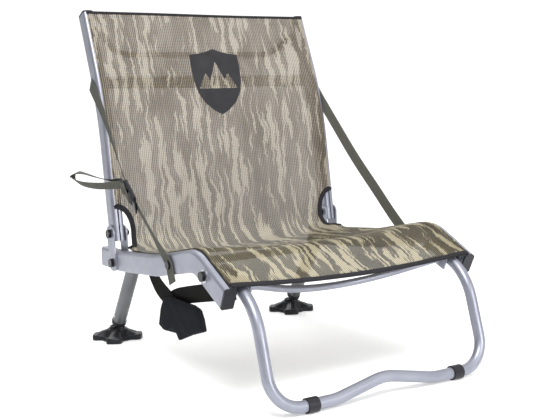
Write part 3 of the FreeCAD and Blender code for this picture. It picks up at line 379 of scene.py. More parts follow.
def webbing(name, color, pitch=0.0022):
    """Flat woven webbing: ribs across and fine ends along."""
    n = Nodes(name)
    uv = n.add("ShaderNodeUVMap", uv_map="UVMap").outputs["UV"]
    split = n.add("ShaderNodeSeparateXYZ")
    n.link(uv, split.inputs[0])
    across = n.math("SINE", n.math("MULTIPLY", split.outputs[0], 2 * math.pi / pitch))
    along = n.math("SINE", n.math("MULTIPLY", split.outputs[1], 2 * math.pi / (pitch * 0.8)))
    rib = n.math("MULTIPLY_ADD", n.math("MULTIPLY", across, along), 0.5, 0.5)
    wear = n.noise(uv, 90, 3)
    low = tuple(c * 0.62 for c in color)
    base = n.mix(rib, low, color)
    base = n.mix(n.math("MULTIPLY", wear, 0.35), base, tuple(c * 1.6 + 0.002 for c in color))
    n.link(base, n.shader.inputs["Base Color"])
    n.set(Roughness=0.85)
    n.shader.inputs["Specular IOR Level"].default_value = 0.15
    n.bump(rib, 0.5, 0.0005)
    return n.material


COAT = coated_metal("coated_metal", (0.250, 0.260, 0.310), (0.295, 0.305, 0.355))
# Painted shade: the rear legs and the rear crossbar get a darker, greyer copy of the frame's coat, for the
# shade they stand in beneath the seat.
SHADED_LEG_COAT = coated_metal("rear_leg_painted_shade_coat", (0.120, 0.126, 0.132), (0.150, 0.157, 0.165))
BLACK = plain("black_moulding", (0.012, 0.012, 0.015), 0.40, grain=1100, specular=0.30)
RUBBER = plain("black_foot", (0.009, 0.010, 0.013), 0.42, grain=700, grain_strength=0.25, specular=0.30)
HARDWARE = plain("black_bolt", (0.005, 0.005, 0.007), 0.24, grain=600, grain_strength=0.08, specular=0.28)
ZINC = plain("plated_steel", (0.50, 0.50, 0.53), 0.35, metallic=0.9, grain_strength=0.05)
GREY = plain("grey_moulding", (0.30, 0.30, 0.34), 0.45)
CLOTH = mesh_cloth()
TAPE = webbing("edge_tape", (0.020, 0.019, 0.022), 0.0016)
OLIVE = webbing("olive_webbing", (0.150, 0.150, 0.130))
SHADED_OLIVE = webbing("olive_webbing_dark", (0.088, 0.087, 0.075))
BLACK_WEB = webbing("black_webbing", (0.008, 0.008, 0.007))
PAD = webbing("pad_cloth", (0.008, 0.010, 0.015), 0.0012)
PRINT = plain("dark_print", (0.026, 0.025, 0.028), 0.80, grain=1500, grain_strength=0.5, specular=0.2)
THREAD = plain("thread", (0.11, 0.11, 0.10), 0.8)

LOOKS = {
    COAT: [
        "seat_rail", "back_upright", "crossbar_bracket", "front_crossbar", "back_crossbar",
        "front_hoop", "hinge_plate",
    ],
    SHADED_LEG_COAT: ["rear_leg", "rear_crossbar"],
    BLACK: ["front_cap", "upright_cap", "floor_clip", "strap_buckle", "foot_stem", "foot_cup"],
    RUBBER: ["foot_left", "foot_right"],
    HARDWARE: ["hinge_bolts", "hoop_pivot_bolts", "pivot_nuts", "strap_bolts", "crossbar_screws"],
    ZINC: ["pivot_spacers", "hoop_pivot_washers", "leg_rivets"],
    GREY: ["rear_plug"],
    TAPE: ["front_binding", "top_binding", "seat_edge_rods", "back_edge_rods"],
    OLIVE: ["limit_strap", "strap_tail_loop", "back_band"],
    BLACK_WEB: ["carry_strap"],
    PAD: ["carry_pad"],
    CLOTH: ["seat_sling", "back_sling", "sling_fold"],
}


def dress_frame():
    """Gives every CAD node its finish."""
    for node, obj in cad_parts.items():
        look = next(m for m, names in LOOKS.items() if any(node.startswith(n) for n in names))
        obj.data.materials.clear()
        obj.data.materials.append(look)
        obj.data.polygons.foreach_set("use_smooth", [True] * len(obj.data.polygons))
        obj.data.set_sharp_from_angle(angle=math.radians(35))


# ---------------------------------------------------------------- the sling


def sling_profile():
    """The line of the fabric's edge from the seat's front to the top of the back, with its normals."""
    lean, top = LOW_LEAN, TOP_LEAN
    bend = HINGE + UPRIGHT_LOW * np.array((math.sin(lean), math.cos(lean)))
    tip = bend + UPRIGHT_HIGH * np.array((math.sin(top), math.cos(top)))
    seat = bent([(*place, radius) for place, radius in zip(SEAT_LINE, (0, *RAIL_BENDS, 0))])
    back = bent([(*(HINGE - 0.05 * unit(bend - HINGE)), 0), (*bend, UPRIGHT_BEND), (*tip, 0)])
    seat = offset_line(seat, SEAT_LIFT)
    back = offset_line(back, BACK_LIFT)
    seat = seat[seat[:, 0] < SEAT_END_Y]
    back = back[back[:, 1] > BACK_START_Z]
    corner = crossing(seat[-1], seat[-1] - seat[-2], back[0], back[1] - back[0])
    fold = bent([(*seat[-1], 0), (*corner, FOLD_BEND), (*back[0], 0)])
    line = resampled(np.vstack([seat[:-1], fold, back[1:]]), 0.0025)
    along = directions(line)
    return line, np.stack([-along[:, 1], along[:, 0]], axis=1)


def offset_line(line, distance):
    """The same line, moved along its normals."""
    along = directions(line)
    return line + distance * np.stack([-along[:, 1], along[:, 0]], axis=1)


def crossing(a, da, b, db):
    """Where the line through a along da meets the line through b along db."""
    t = np.linalg.solve(np.array([da, -db]).T, b - a)
    return a + t[0] * da


LINE, NORMAL = sling_profile()
LENGTHS = np.concatenate([[0], np.cumsum(np.linalg.norm(np.diff(LINE, axis=0), axis=1))])
TOTAL = LENGTHS[-1]


def at_height(z):
    """Distance along the sling's line of the place on the back at that height."""
    rising = LINE[:, 0] > 0.16
    return float(np.interp(z, LINE[rising, 1], LENGTHS[rising]))


def at_depth(y):
    """Distance along the sling's line of the place on the seat at that Y."""
    flat = np.arange(len(LINE)) < np.argmax(LINE[:, 0] > 0.16)
    return float(np.interp(y, LINE[flat, 0], LENGTHS[flat]))


NOTCH_LOW, NOTCH_HIGH = at_depth(0.154), at_height(0.279)
NOTCH_DEEP = 0.027


def half_width(v):
    """Half the sling's width at a distance along it; it is narrower in the open corners beside the fold."""
    v = np.asarray(v, float)
    rise = np.clip((v - NOTCH_LOW) / (NOTCH_HIGH - NOTCH_LOW), 0, 1)
    inside = 1 - (2 * rise**1.3 - 1) ** 2
    return SEAT_EDGE + (EDGE - SEAT_EDGE) * rise - NOTCH_DEEP * np.sqrt(inside)


def ripple(x, v):
    """Faint slack and pull in the fabric."""
    back = np.clip((v - NOTCH_HIGH) / 0.1, 0, 1)
    near_edge = np.clip((np.abs(x) - 0.12) / 0.11, 0, 1) * np.clip((0.236 - np.abs(x)) / 0.01, 0, 1)
    pulls = 0.0009 * near_edge * np.sin(v * 95 + 3 * np.sin(x * 9)) * np.sin(v * 31 + 1.3)
    slack = 0.0013 * np.sin(v * 21 + 1.1 * np.sin(x * 11 + 0.5)) * (1 - (x / EDGE) ** 2)
    return pulls * (0.5 + 0.5 * back) + slack * (0.4 + 0.6 * back)


def sag_at(v):
    """How far the fabric hangs behind its edges; the top edge is pulled almost straight."""
    share = np.clip((TOTAL - v) / 0.20, 0, 1)
    return SAG * (0.12 + 0.88 * share * share * (3 - 2 * share))


def sling_point(x, v, lift=0.0):
    """A point of the fabric at sideways place x and distance v along it, raised by lift."""
    x, v = np.broadcast_arrays(np.asarray(x, float), np.asarray(v, float))
    y, z = np.interp(v, LENGTHS, LINE[:, 0]), np.interp(v, LENGTHS, LINE[:, 1])
    ny, nz = np.interp(v, LENGTHS, NORMAL[:, 0]), np.interp(v, LENGTHS, NORMAL[:, 1])
    size = np.hypot(ny, nz)
    ny, nz = ny / size, nz / size
    wrap = 0.004 * np.clip((np.abs(x) - 0.2425) / 0.003, 0, 1) ** 2
    near_notch = np.exp(-(((v - NOTCH_LOW - 0.004) / 0.014) ** 2))
    curl = 0.006 * near_notch * np.clip((np.abs(x) - 0.15) / 0.07, 0, 1) ** 2
    drop = sag_at(v) * np.clip(1 - (x / FLAT) ** 2, 0, 1) + ripple(x, v) + wrap - curl - lift
    return np.stack([x, y - ny * drop, z - nz * drop], axis=-1)


def make_sling():
    """Both faces of one cloth, from the seat's front edge to the top of the back."""
    across, lengthways = 110, 330
    v = np.linspace(0.003, TOTAL - 0.001, lengthways)
    u = np.linspace(-1, 1, across)
    x = u[None, :] * half_width(v)[:, None]
    vv = np.repeat(v[:, None], across, axis=1)
    upper = sling_point(x, vv, 0.0007).reshape(-1, 3)
    lower = sling_point(x, vv, -0.0007).reshape(-1, 3)
    count = across * lengthways
    uv = np.stack([x.ravel(), vv.ravel()], axis=1)
    faces = []
    for i in range(lengthways - 1):
        for j in range(across - 1):
            a = i * across + j
            faces.append((a, a + 1, a + across + 1, a + across))
            b = a + count
            faces.append((b, b + across, b + across + 1, b + 1))
    rim = (
        list(range(across))
        + [i * across + across - 1 for i in range(1, lengthways)]
        + [(lengthways - 1) * across + j for j in range(across - 2, -1, -1)]
        + [i * across for i in range(lengthways - 2, 0, -1)]
    )
    for a, b in zip(rim, rim[1:] + rim[:1]):
        faces.append((a, a + count, b + count, b))
    return mesh_object("sling", np.vstack([upper, lower]), faces, CLOTH, np.vstack([uv, uv]).tolist())


def edge_line(xs, vs):
    """A line on the cloth with, at each point, the cloth's normal."""
    points = sling_point(xs, vs)
    raised = sling_point(xs, vs, 0.001)
    return points, unit(raised - points)


def tape_along(name, xs, vs, width, thick):
    """Edge tape whose flat side follows the cloth."""
    points, normals = edge_line(xs, vs)
    along = directions(points)
    return ribbon(name, points, np.cross(along, normals), width, thick, TAPE)


def make_bindings():
    """Tape folded over the cloth's front and top edges and round the open corners."""
    x = np.linspace(-0.237, 0.237, 120)
    front = tape_along("front_edge_tape", x, np.full_like(x, 0.0048), 0.0090, 0.0036)
    top = tape_along("top_edge_tape", x * 1.03, np.full_like(x, TOTAL - 0.0026), 0.0052, 0.0040)
    pieces = [front, top]
    for name, side in SIDES:
        v = np.linspace(NOTCH_LOW - 0.002, NOTCH_HIGH + 0.002, 70)
        x = side * (half_width(v) - 0.0035)
        pieces.append(tape_along(f"corner_tape_{name}", x, v, 0.0095, 0.0036))
    return pieces


def make_stitching():
    """Rows of thread along the tapes and beside the rails."""
    rows = []
    for v0 in (0.0110, TOTAL - 0.0100):
        rows.append((np.linspace(-0.233, 0.233, 150), np.full(150, v0)))
    for side in (-1, 1):
        for low, high in ((0.012, NOTCH_LOW - 0.004), (NOTCH_HIGH + 0.004, TOTAL - 0.012)):
            count = int((high - low) / 0.003)
            rows.append((np.full(count, side * 0.2245), np.linspace(low, high, count)))
    vertices, faces = [], []
    for xs, vs in rows:
        points, normals = edge_line(xs, vs)
        along = directions(points)
        over = np.cross(normals, along)
        for k in range(0, len(points) - 1, 2):
            p, q = points[k], points[k] + 0.72 * (points[k + 1] - points[k])
            lift, wide = normals[k] * 0.0011, over[k] * 0.00035
            top = normals[k] * 0.0021
            if vs[0] == vs[-1]:
                lift, top = normals[k] * 0.0018, normals[k] * 0.0025
            start = len(vertices)
            vertices += [p - wide + lift, p + wide + lift, q + wide + lift, q - wide + lift]
            vertices.append((p + q) / 2 + top)
            stitch = ((0, 1, 4), (1, 2, 4), (2, 3, 4), (3, 0, 4), (3, 2, 1, 0))
            faces += [tuple(start + i for i in f) for f in stitch]
    return mesh_object("sling_stitching", vertices, faces, THREAD, smooth_shaded=False)


def badge_outline(scale):
    """A plain shield: a low peak in the middle of its top and one point below."""
    half = [(0.0, 0.068), (0.020, 0.061), (0.040, 0.057), (0.054, 0.056), (0.055, 0.030), (0.053, 0.000)]
    half += [(0.047, -0.024), (0.035, -0.044), (0.018, -0.060), (0.0, -0.070)]
    points = np.array(half + [(-x, y) for x, y in half[-2:0:-1]])
    return resampled(np.vstack([points, points[:1]]), 0.004)[:-1] * scale


def make_badge():
    """A generic dark shield printed on the back, with three plain peaks left open."""
    centre = np.array((0.010, at_height(0.512)))
    rim = strip_between("badge_rim", badge_outline(1.0), badge_outline(0.93), centre)
    field = peaks_field(centre)
    return joined("badge", [rim, field])


def on_cloth(points, centre):
    """Points (across, up) about a centre, laid just above the cloth."""
    points = np.asarray(points, float)
    return sling_point(centre[0] + points[:, 0], centre[1] + points[:, 1], 0.0010)


def strip_between(name, outer, inner, centre):
    """A printed strip between two outlines."""
    count = len(outer)
    vertices = np.vstack([on_cloth(outer, centre), on_cloth(inner, centre)])
    faces = [(i, count + i, count + (i + 1) % count, (i + 1) % count) for i in range(count)]
    return mesh_object(name, vertices, faces, PRINT)


PEAKS = ((0.0, 0.040, 0.022), (-0.025, 0.016, 0.017), (0.025, 0.016, 0.017))
PEAK_FOOT = -0.014


def peaks_field(centre):
    """The badge's field as a fine grid, with cells left out where three plain peaks show."""
    step = 0.0011
    xs = np.arange(-0.056, 0.0561, step)
    ys = np.arange(-0.072, 0.0721, step)
    grid = np.array([(x, y) for y in ys for x in xs])
    inside = in_polygon(grid, badge_outline(0.97))
    for middle, tip, half in PEAKS:
        rise = (grid[:, 1] - PEAK_FOOT) / (tip - PEAK_FOOT)
        inside &= ~((rise > 0) & (rise < 1) & (np.abs(grid[:, 0] - middle) < half * (1 - rise)))
    keep = inside.reshape(len(ys), len(xs))
    vertices = on_cloth(grid, centre)
    faces = []
    for i in range(len(ys) - 1):
        for j in range(len(xs) - 1):
            if keep[i, j] and keep[i + 1, j] and keep[i, j + 1] and keep[i + 1, j + 1]:
                a = i * len(xs) + j
                faces.append((a, a + 1, a + len(xs) + 1, a + len(xs)))
    used = sorted({k for f in faces for k in f})
    order = {k: i for i, k in enumerate(used)}
    return mesh_object("badge_field", vertices[used], [tuple(order[k] for k in f) for f in faces], PRINT)


def in_polygon(points, polygon):
    """Which points lie inside a closed outline."""
    x, y = points[:, 0], points[:, 1]
    inside = np.zeros(len(points), bool)
    for (x0, y0), (x1, y1) in zip(polygon, np.roll(polygon, -1, axis=0)):
        crosses = (y0 > y) != (y1 > y)
        with np.errstate(divide="ignore", invalid="ignore"):
            inside ^= crosses & (x < (x1 - x0) * (y - y0) / (y1 - y0) + x0)
    return inside


def dress_sling():
    """The sling with its tapes, thread and badge, bending from the seat to the back."""
    sling = make_sling()
    pieces = [sling, *make_bindings(), make_stitching(), make_badge()]
    for piece in pieces:
        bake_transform(piece)
    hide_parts("seat_sling", "back_sling", "sling_fold")
    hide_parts("front_binding")
    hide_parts("top_binding")


# ---------------------------------------------------------------- straps


TWIST_SCALE = 0.01
WEB_WIDTH, WEB_THICK = 0.025, 0.0015
TAIL_WIDTH = 0.0235


def woven(name, stops, width, thick, material, step=0.003):
    """A ribbon through stops (x, y, z, direction across it), turning smoothly from stop to stop."""
    path = np.array([[*stop[:3], *(unit(stop[3]) * TWIST_SCALE)] for stop in stops])
    line = smooth(path, step)
    return ribbon(name, line[:, :3], line[:, 3:] / TWIST_SCALE, width, thick, material)


def leaning(side, slope, tilt):
    """The direction across a strap that climbs at a slope and leans outwards by a tilt, both in degrees."""
    slope, tilt = math.radians(slope), math.radians(tilt)
    return (side * math.sin(tilt), -math.sin(slope) * math.cos(tilt), math.cos(slope) * math.cos(tilt))


STRAP_STOPS = {
    "left": [
        (-0.2524, -0.0600, 0.1745, leaning(-1, 60, 0)),
        (-0.2521, -0.0530, 0.1900, leaning(-1, 58, 0)),
        (-0.2521, -0.0450, 0.2060, leaning(-1, 52, 4)),
        (-0.2535, -0.0080, 0.2340, leaning(-1, 40, 18)),
        (-0.2555, 0.0224, 0.2605, leaning(-1, 39, 24)),
        (-0.2570, 0.0720, 0.3000, leaning(-1, 40, 22)),
        (-0.2570, 0.1080, 0.3300, leaning(-1, 42, 30)),
        (-0.2555, 0.1490, 0.3790, leaning(-1, 46, 22)),
        (-0.2530, 0.2090, 0.4490, leaning(-1, 49, 6)),
        (-0.2516, 0.2520, 0.4880, leaning(-1, 48, 0)),
        (-0.2512, 0.2690, 0.5030, leaning(-1, 40, 0)),
        (-0.2470, 0.2795, 0.5085, leaning(-1, 25, 0)),
        (-0.2300, 0.2795, 0.5088, leaning(-1, -18, 0)),
    ],
    "right": [
        (0.2518, -0.0665, 0.1850, leaning(1, 42, 0)),
        (0.2516, -0.0480, 0.2030, leaning(1, 43, 0)),
        (0.2516, 0.0003, 0.2425, leaning(1, 43, 0)),
        (0.2516, 0.0489, 0.2860, leaning(1, 43, 0)),
        (0.2520, 0.1189, 0.3475, leaning(1, 43, 0)),
        (0.2520, 0.1887, 0.4170, leaning(1, 44, 0)),
        (0.2518, 0.2380, 0.4670, leaning(1, 46, 0)),
        (0.2512, 0.2640, 0.4960, leaning(1, 44, 0)),
        (0.2470, 0.2795, 0.5070, leaning(1, 25, 0)),
        (0.2300, 0.2795, 0.5088, leaning(1, -18, 0)),
    ],
}
STRAP_LOOKS = {"left": SHADED_OLIVE, "right": OLIVE}


def make_limit_strap(name):
    """Webbing from the rail's bolt up to the upright, round it and onto the band behind the back."""
    strap = woven(f"limit_strap_web_{name}", STRAP_STOPS[name], WEB_WIDTH, WEB_THICK, STRAP_LOOKS[name])
    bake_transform(strap)
    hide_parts(f"limit_strap_{name}")


def rod_between(name, start, end, radius, material):
    """A round rod between two points."""
    start, end = np.array(start, float), np.array(end, float)
    line = np.linspace(start, end, 4)
    helper = np.array((1.0, 0.2, 0.1)) if abs(unit(end - start)[0]) < 0.8 else np.array((0.1, 1.0, 0.2))
    return swept(name, line, helper, ring_profile(radius, 14), material)


def make_buckle():
    """A black ladder buckle with a tab at each end, and webbing bunched through it."""
    slope, tilt = 39, 20
    along = unit((0, math.cos(math.radians(slope)), math.sin(math.radians(slope))))
    across = unit(leaning(-1, slope, tilt))
    out = unit(np.cross(along, across))
    out = out if out[0] < 0 else -out
    centre = np.array((-0.2585, 0.084, 0.3105))

    def spot(lengthways, sideways, outwards):
        return centre + along * lengthways + across * sideways + out * outwards

    pieces = []
    for side in (-0.0150, 0.0150):
        start, end = spot(-0.024, side, 0), spot(0.021, side, 0.0005)
        pieces.append(rod_between(f"buckle_side_{side > 0}", start, end, 0.0032, BLACK))
    for number, (place, lift) in enumerate(((-0.023, 0.0), (-0.008, 0.0026), (0.008, 0.0022), (0.020, 0.0))):
        start, end = spot(place, -0.0155, lift), spot(place, 0.0155, lift)
        pieces.append(rod_between(f"buckle_bar_{number}", start, end, 0.0031, BLACK))
    for number, (low, lift) in enumerate(((-0.034, 0.0030), (0.018, 0.0075))):
        high = low + 0.015
        places = ((low, 0.003), ((low + high) / 2, 0.004), (high, lift))
        tab = [(*spot(place, 0, raised), across) for place, raised in places]
        pieces.append(woven(f"buckle_tab_{number}", tab, 0.027, 0.0026, BLACK, 0.002))
    bunched = [(-0.008, 0.0062), (-0.002, 0.0074), (0.006, 0.0064)]
    bunched += [(0.013, 0.0070), (0.019, 0.0098), (0.026, 0.0100)]
    fold = [(*spot(place, 0, lift), across) for place, lift in bunched]
    wrapped = woven("buckle_webbing", fold, TAIL_WIDTH, WEB_THICK, SHADED_OLIVE, 0.002)
    buckle = joined("ladder_buckle", pieces)
    for piece in (buckle, wrapped):
        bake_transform(piece)
    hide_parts("strap_buckle")


def make_tail_loop():
    """The strap's loose end, doubled into a teardrop that stands out sideways."""
    stops = [
        (-0.2600, 0.0960, 0.3270, (-0.55, -0.35, 0.75)),
        (-0.2650, 0.1180, 0.3260, (-0.70, -0.35, 0.60)),
        (-0.2760, 0.1450, 0.3235, (-0.70, -0.45, 0.55)),
        (-0.2900, 0.1730, 0.3225, (-0.66, -0.50, 0.56)),
        (-0.3030, 0.1980, 0.3250, (-0.66, -0.55, 0.50)),
        (-0.3105, 0.2180, 0.3310, (-0.62, -0.68, 0.38)),
        (-0.3125, 0.2240, 0.3390, (-0.60, -0.76, 0.10)),
        (-0.3080, 0.2140, 0.3450, (-0.60, -0.78, -0.10)),
        (-0.2960, 0.2010, 0.3430, (-0.56, -0.80, 0.04)),
        (-0.2820, 0.1880, 0.3370, (-0.54, -0.82, 0.10)),
        (-0.2680, 0.1650, 0.3320, (-0.54, -0.80, 0.16)),
        (-0.2600, 0.1350, 0.3300, (-0.54, -0.70, 0.34)),
        (-0.2580, 0.1080, 0.3300, (-0.50, -0.52, 0.56)),
    ]
    loop = woven("strap_tail_webbing", stops, TAIL_WIDTH, WEB_THICK, SHADED_OLIVE, 0.002)
    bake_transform(loop)
    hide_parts("strap_tail_loop")


def make_back_band():
    """Webbing straight across behind the uprights, joined to both straps."""
    across = (0, math.sin(TOP_LEAN), math.cos(TOP_LEAN))
    stops = [(x, 0.2768, 0.5088, across) for x in np.linspace(-0.2455, 0.2455, 12)]
    band = woven("back_band_web", stops, WEB_WIDTH, WEB_THICK, OLIVE, 0.006)
    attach(band, "back_frame")
    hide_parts("back_band")


def dress_straps():
    for name, _ in SIDES:
        make_limit_strap(name)
    make_buckle()
    make_tail_loop()
    make_back_band()


# ---------------------------------------------------------------- feet


BALLS = {name: np.array((side * 0.207, 0.306325, 0.021571)) for name, side in SIDES}
FOOT_TURN = math.radians(-32)
SOLE_BELOW_BALL = 0.0215
WEB_REACH, TOE_EXTRA = 0.033, 0.0165
HUB, HUB_SHOULDER = 0.0155, 0.0192
SOCKET_FLOOR, HUB_TOP = 0.0084, 0.0212
EDGE_HEIGHT, TOE_HEIGHT = 0.0065, 0.0035


def foot_reach(angle):
    """How far a foot's edge is from its middle, in four toes with webs between them."""
    toe = np.clip((0.5 + 0.5 * np.cos(4 * angle) - 0.18) / 0.6, 0, 1)
    return WEB_REACH + TOE_EXTRA * toe * toe * (3 - 2 * toe)


def make_foot(name):
    """A webbed rubber foot: four thick toes, hollows between them, a raised rim and a rib along each toe."""
    ball = BALLS[name]
    angles = np.linspace(0, 2 * math.pi, 128, endpoint=False)
    reach = foot_reach(angles)
    toe = (reach - WEB_REACH) / TOE_EXTRA
    outer = EDGE_HEIGHT + TOE_HEIGHT * toe
    level = np.ones_like(angles)
    rows = [(HUB * level, SOCKET_FLOOR * level), (HUB * level, HUB_TOP * level)]
    rows += [((HUB + 0.0012) * level, 0.0218 * level), (HUB_SHOULDER * level, 0.0216 * level)]
    off = np.abs((angles + math.pi / 4) % (math.pi / 2) - math.pi / 4)
    for share in np.linspace(0.08, 1, 14):
        r = HUB_SHOULDER + (reach - 0.0045 - HUB_SHOULDER) * share
        height = outer + (0.0205 - outer) * (1 - share) ** (1.5 - 0.6 * toe)
        rib = 0.0016 * np.exp(-((off * r / 0.0022) ** 2)) * toe * math.sin(math.pi * min(1, share * 1.02))
        hollow = 0.0012 * math.sin(math.pi * share) * (1 - 0.5 * toe)
        rows.append((r, height + rib - hollow + 0.0010 * (share > 0.86)))
    rows += [(reach - 0.0022, outer + 0.0012), (reach - 0.0006, outer - 0.0004), (reach, outer - 0.0024)]
    rows += [(reach, 0.0012 * level), (reach - 0.0012, 0.0002 * level)]
    base = ball[2] - SOLE_BELOW_BALL
    count = len(angles)
    vertices = []
    for r, height in rows:
        for a, rr, h in zip(angles + FOOT_TURN, r, height):
            vertices.append((ball[0] + rr * math.cos(a), ball[1] + rr * math.sin(a), base + h))
    faces = []
    for i in range(len(rows) - 1):
        for j in range(count):
            k = (j + 1) % count
            faces.append((i * count + j, (i + 1) * count + j, (i + 1) * count + k, i * count + k))
    under = len(rows) - 1
    vertices.append((ball[0], ball[1], base + 0.0002))
    vertices.append((ball[0], ball[1], base + SOCKET_FLOOR))
    for j in range(count):
        k = (j + 1) % count
        faces.append((under * count + j, len(vertices) - 2, under * count + k))
        faces.append((j, k, len(vertices) - 1))
    foot = mesh_object(f"webbed_foot_{name}", vertices, faces, RUBBER)
    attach(foot, f"shoe_{name}")
    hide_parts(f"foot_{name}")


def make_cup_ring(name):
    """The socket's raised lip over the ball, open at the side that the leg leans to."""
    ball = BALLS[name]
    arc = np.radians(np.linspace(-48, 228, 60))
    line = [ball + (0.0128 * math.cos(a), 0.0128 * math.sin(a), 0.0038) for a in arc]
    lip = swept(f"cup_lip_{name}", line, (0, 0, 1), ring_profile(0.0021, 12), RUBBER)
    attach(lip, f"ball_cup_{name}")


def dress_feet():
    for name, _ in SIDES:
        make_foot(name)
        make_cup_ring(name)


# ---------------------------------------------------------------- carry strap


PAD_X = -0.190
PAD_OUTLINE = [
    (0.1360, 0.0600), (0.1260, 0.0915), (0.1130, 0.1110), (0.0870, 0.1185), (0.0500, 0.1195),
    (0.0180, 0.1190), (-0.0132, 0.1198), (-0.0355, 0.1165), (-0.0455, 0.1010), (-0.0510, 0.0830),
    (0.0000, 0.0670), (0.0520, 0.0470), (0.0632, 0.0580), (0.1188, 0.0535),
]


def make_pad():
    """A flat shoulder pad with a bound rim, thickest in its middle."""
    rim = np.array(PAD_OUTLINE)
    rim = resampled(np.vstack([rim, rim[:1]]), 0.005)[:-1]
    middle = rim.mean(axis=0)
    shares = (1.0, 0.985, 0.93, 0.85, 0.7, 0.45, 0.2)
    half = (0.0010, 0.0022, 0.0026, 0.0038, 0.0044, 0.0047, 0.0048)
    count = len(rim)
    vertices, faces, uvs = [], [], []
    for face in (-1, 1):
        for share, thick in zip(shares, half):
            for y, z in middle + (rim - middle) * share:
                dent = 0.0007 * math.sin(y * 140 + 2) * math.sin(z * 160) * (share < 0.9)
                vertices.append((PAD_X + face * (thick + dent), y, z))
                uvs.append((y, z))
        vertices.append((PAD_X + face * half[-1], *middle))
        uvs.append(tuple(middle))
    layer = len(shares) * count + 1
    for face in (0, 1):
        base = face * layer
        for ring in range(len(shares) - 1):
            for i in range(count):
                j = (i + 1) % count
                near, far = base + ring * count, base + (ring + 1) * count
                quad = (near + i, near + j, far + j, far + i)
                faces.append(quad if face else quad[::-1])
        last = base + (len(shares) - 1) * count
        for i in range(count):
            tri = (last + i, last + (i + 1) % count, base + layer - 1)
            faces.append(tri if face else tri[::-1])
    for i in range(count):
        j = (i + 1) % count
        faces.append((i, j, layer + j, layer + i))
    pad = mesh_object("shoulder_pad", vertices, faces, PAD, uvs)
    line = np.array([(PAD_X, y, z) for y, z in middle + (rim - middle) * 0.985])
    section = band_profile(0.0052, 0.0036, 0.9)
    trim = swept("shoulder_pad_trim", line, (1, 0, 0), section, TAPE, closed=True)
    return pad, trim


CARRY_STOPS = {
    "rear": [
        (0.1885, 0.1705), (0.1795, 0.1560), (0.1675, 0.1425), (0.1480, 0.1275),
        (0.1100, 0.1120), (0.0700, 0.0980), (0.0250, 0.0850),
    ],
    "front": [
        (0.1060, 0.1080), (0.0750, 0.1200), (0.0350, 0.1300),
        (-0.0300, 0.1440), (-0.0900, 0.1560), (-0.1400, 0.1660),
    ],
}


def make_carry_run(name, x, width):
    """One run of the carry strap, flat against the pad."""
    line = smooth([(x, y, z) for y, z in CARRY_STOPS[name]], 0.004)
    along = directions(line)
    return ribbon(f"carry_strap_{name}", line, np.cross(along, (1, 0, 0)), width, 0.0020, BLACK_WEB)


def dress_carry_strap():
    """The pad, its trim and its strap, carried by the seat frame."""
    pad, trim = make_pad()
    rear = make_carry_run("rear", PAD_X + 0.0070, 0.036)
    front = make_carry_run("front", PAD_X + 0.0098, 0.031)
    straps = joined("carry_strap_web", [rear, front])
    for piece in (pad, trim, straps):
        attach(piece, "seat_frame")
        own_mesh(piece)
    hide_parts("carry_strap")
    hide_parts("carry_pad")


# ---------------------------------------------------------------- surroundings


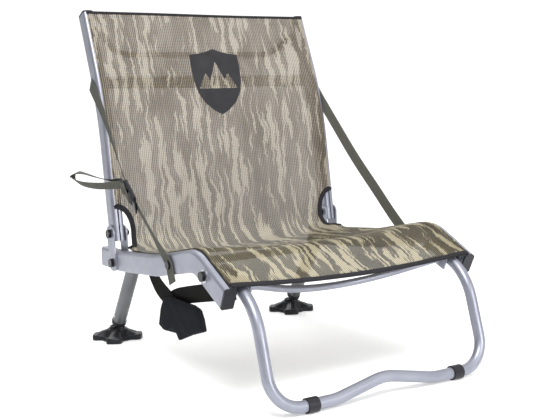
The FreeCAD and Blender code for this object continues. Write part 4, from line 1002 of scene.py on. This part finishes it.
def make_surroundings():
    """A pale floor that curves up behind the chair, a soft room and three lamps."""
    scene = bpy.context.scene
    floor_look = Nodes("floor")
    floor_look.set(Base_Color=(0.80, 0.80, 0.80, 1), Roughness=0.9)
    floor_look.set(Emission_Color=(1, 1, 1, 1), Emission_Strength=0.30)
    size, wall, lift = 6.0, 4.0, 1.6
    rows = [(-size, 0.0), (wall - lift, 0.0)]
    for a in np.linspace(0.1, math.pi / 2, 14):
        rows.append((wall - lift * (1 - math.sin(a)), lift * (1 - math.cos(a))))
    rows += [(wall, size)]
    vertices = [(x, y, z) for y, z in rows for x in (-size, size)]
    faces = [(2 * i, 2 * i + 1, 2 * i + 3, 2 * i + 2) for i in range(len(rows) - 1)]
    floor = mesh_object("studio_floor", vertices, faces, floor_look.material)
    settle(floor, Matrix.Rotation(math.radians(-31.6), 4, "Z"))
    world = bpy.data.worlds.new("soft_room")
    scene.world = world
    world.use_nodes = True
    tree = world.node_tree
    spot = tree.nodes.new("ShaderNodeTexCoord")
    split = tree.nodes.new("ShaderNodeSeparateXYZ")
    fade = tree.nodes.new("ShaderNodeValToRGB")
    low, high = fade.color_ramp.elements
    low.position, low.color = 0.02, (0.30, 0.31, 0.33, 1)
    high.position, high.color = 0.60, (1, 1, 1, 1)
    tree.links.new(spot.outputs["Generated"], split.inputs[0])
    tree.links.new(split.outputs["Z"], fade.inputs["Fac"])
    side = tree.nodes.new("ShaderNodeMapRange")
    for socket, value in (("From Min", -1.0), ("From Max", -0.1), ("To Min", 0.36), ("To Max", 1.15)):
        side.inputs[socket].default_value = value
    tree.links.new(split.outputs["X"], side.inputs["Value"])
    tree.links.new(side.outputs["Result"], tree.nodes["Background"].inputs["Strength"])
    tree.links.new(fade.outputs["Color"], tree.nodes["Background"].inputs["Color"])
    for name, spot, size, power in (
        ("key", (-0.9, -1.3, 2.6), 1.2, 74),
        ("fill", (0.6, -2.6, 0.9), 0.9, 26),
        ("rim", (0.6, 2.0, 2.2), 1.6, 30),
    ):
        light = bpy.data.lights.new(name, "AREA")
        light.size, light.energy = size, power
        lamp = bpy.data.objects.new(name, light)
        lamp.location = spot
        aim = Vector((0, 0, 0.3)) - Vector(spot)
        lamp.rotation_mode = "QUATERNION"
        lamp.rotation_quaternion = aim.to_track_quat("-Z", "Y")
        scene.collection.objects.link(lamp)


CAMERA_ANGLES = (-31.625, 6.657, -1.4625)
CAMERA_PLACE = (-0.90692, -1.46135, 0.47119)
CAMERA_LENS = 61.37


def make_camera():
    """The camera, from its azimuth, elevation and roll."""
    azimuth, elevation, roll = (math.radians(a) for a in CAMERA_ANGLES)
    flat = math.cos(elevation)
    back = Vector((math.sin(azimuth) * flat, -math.cos(azimuth) * flat, math.sin(elevation)))
    level = Vector((math.cos(azimuth), math.sin(azimuth), 0))
    upward = back.cross(level)
    right = level * math.cos(roll) + upward * math.sin(roll)
    up = upward * math.cos(roll) - level * math.sin(roll)
    data = bpy.data.cameras.new("camera")
    data.sensor_width, data.lens = 36, CAMERA_LENS
    data.clip_start, data.clip_end = 0.05, 60
    camera = bpy.data.objects.new("camera", data)
    turn = Matrix((right, up, back)).transposed().to_4x4()
    camera.matrix_world = Matrix.Translation(CAMERA_PLACE) @ turn
    bpy.context.scene.collection.objects.link(camera)
    bpy.context.scene.camera = camera
    bpy.context.scene.view_settings.view_transform = "Standard"


dress_frame()
dress_sling()
dress_straps()
dress_carry_strap()
dress_feet()
make_surroundings()
make_camera()
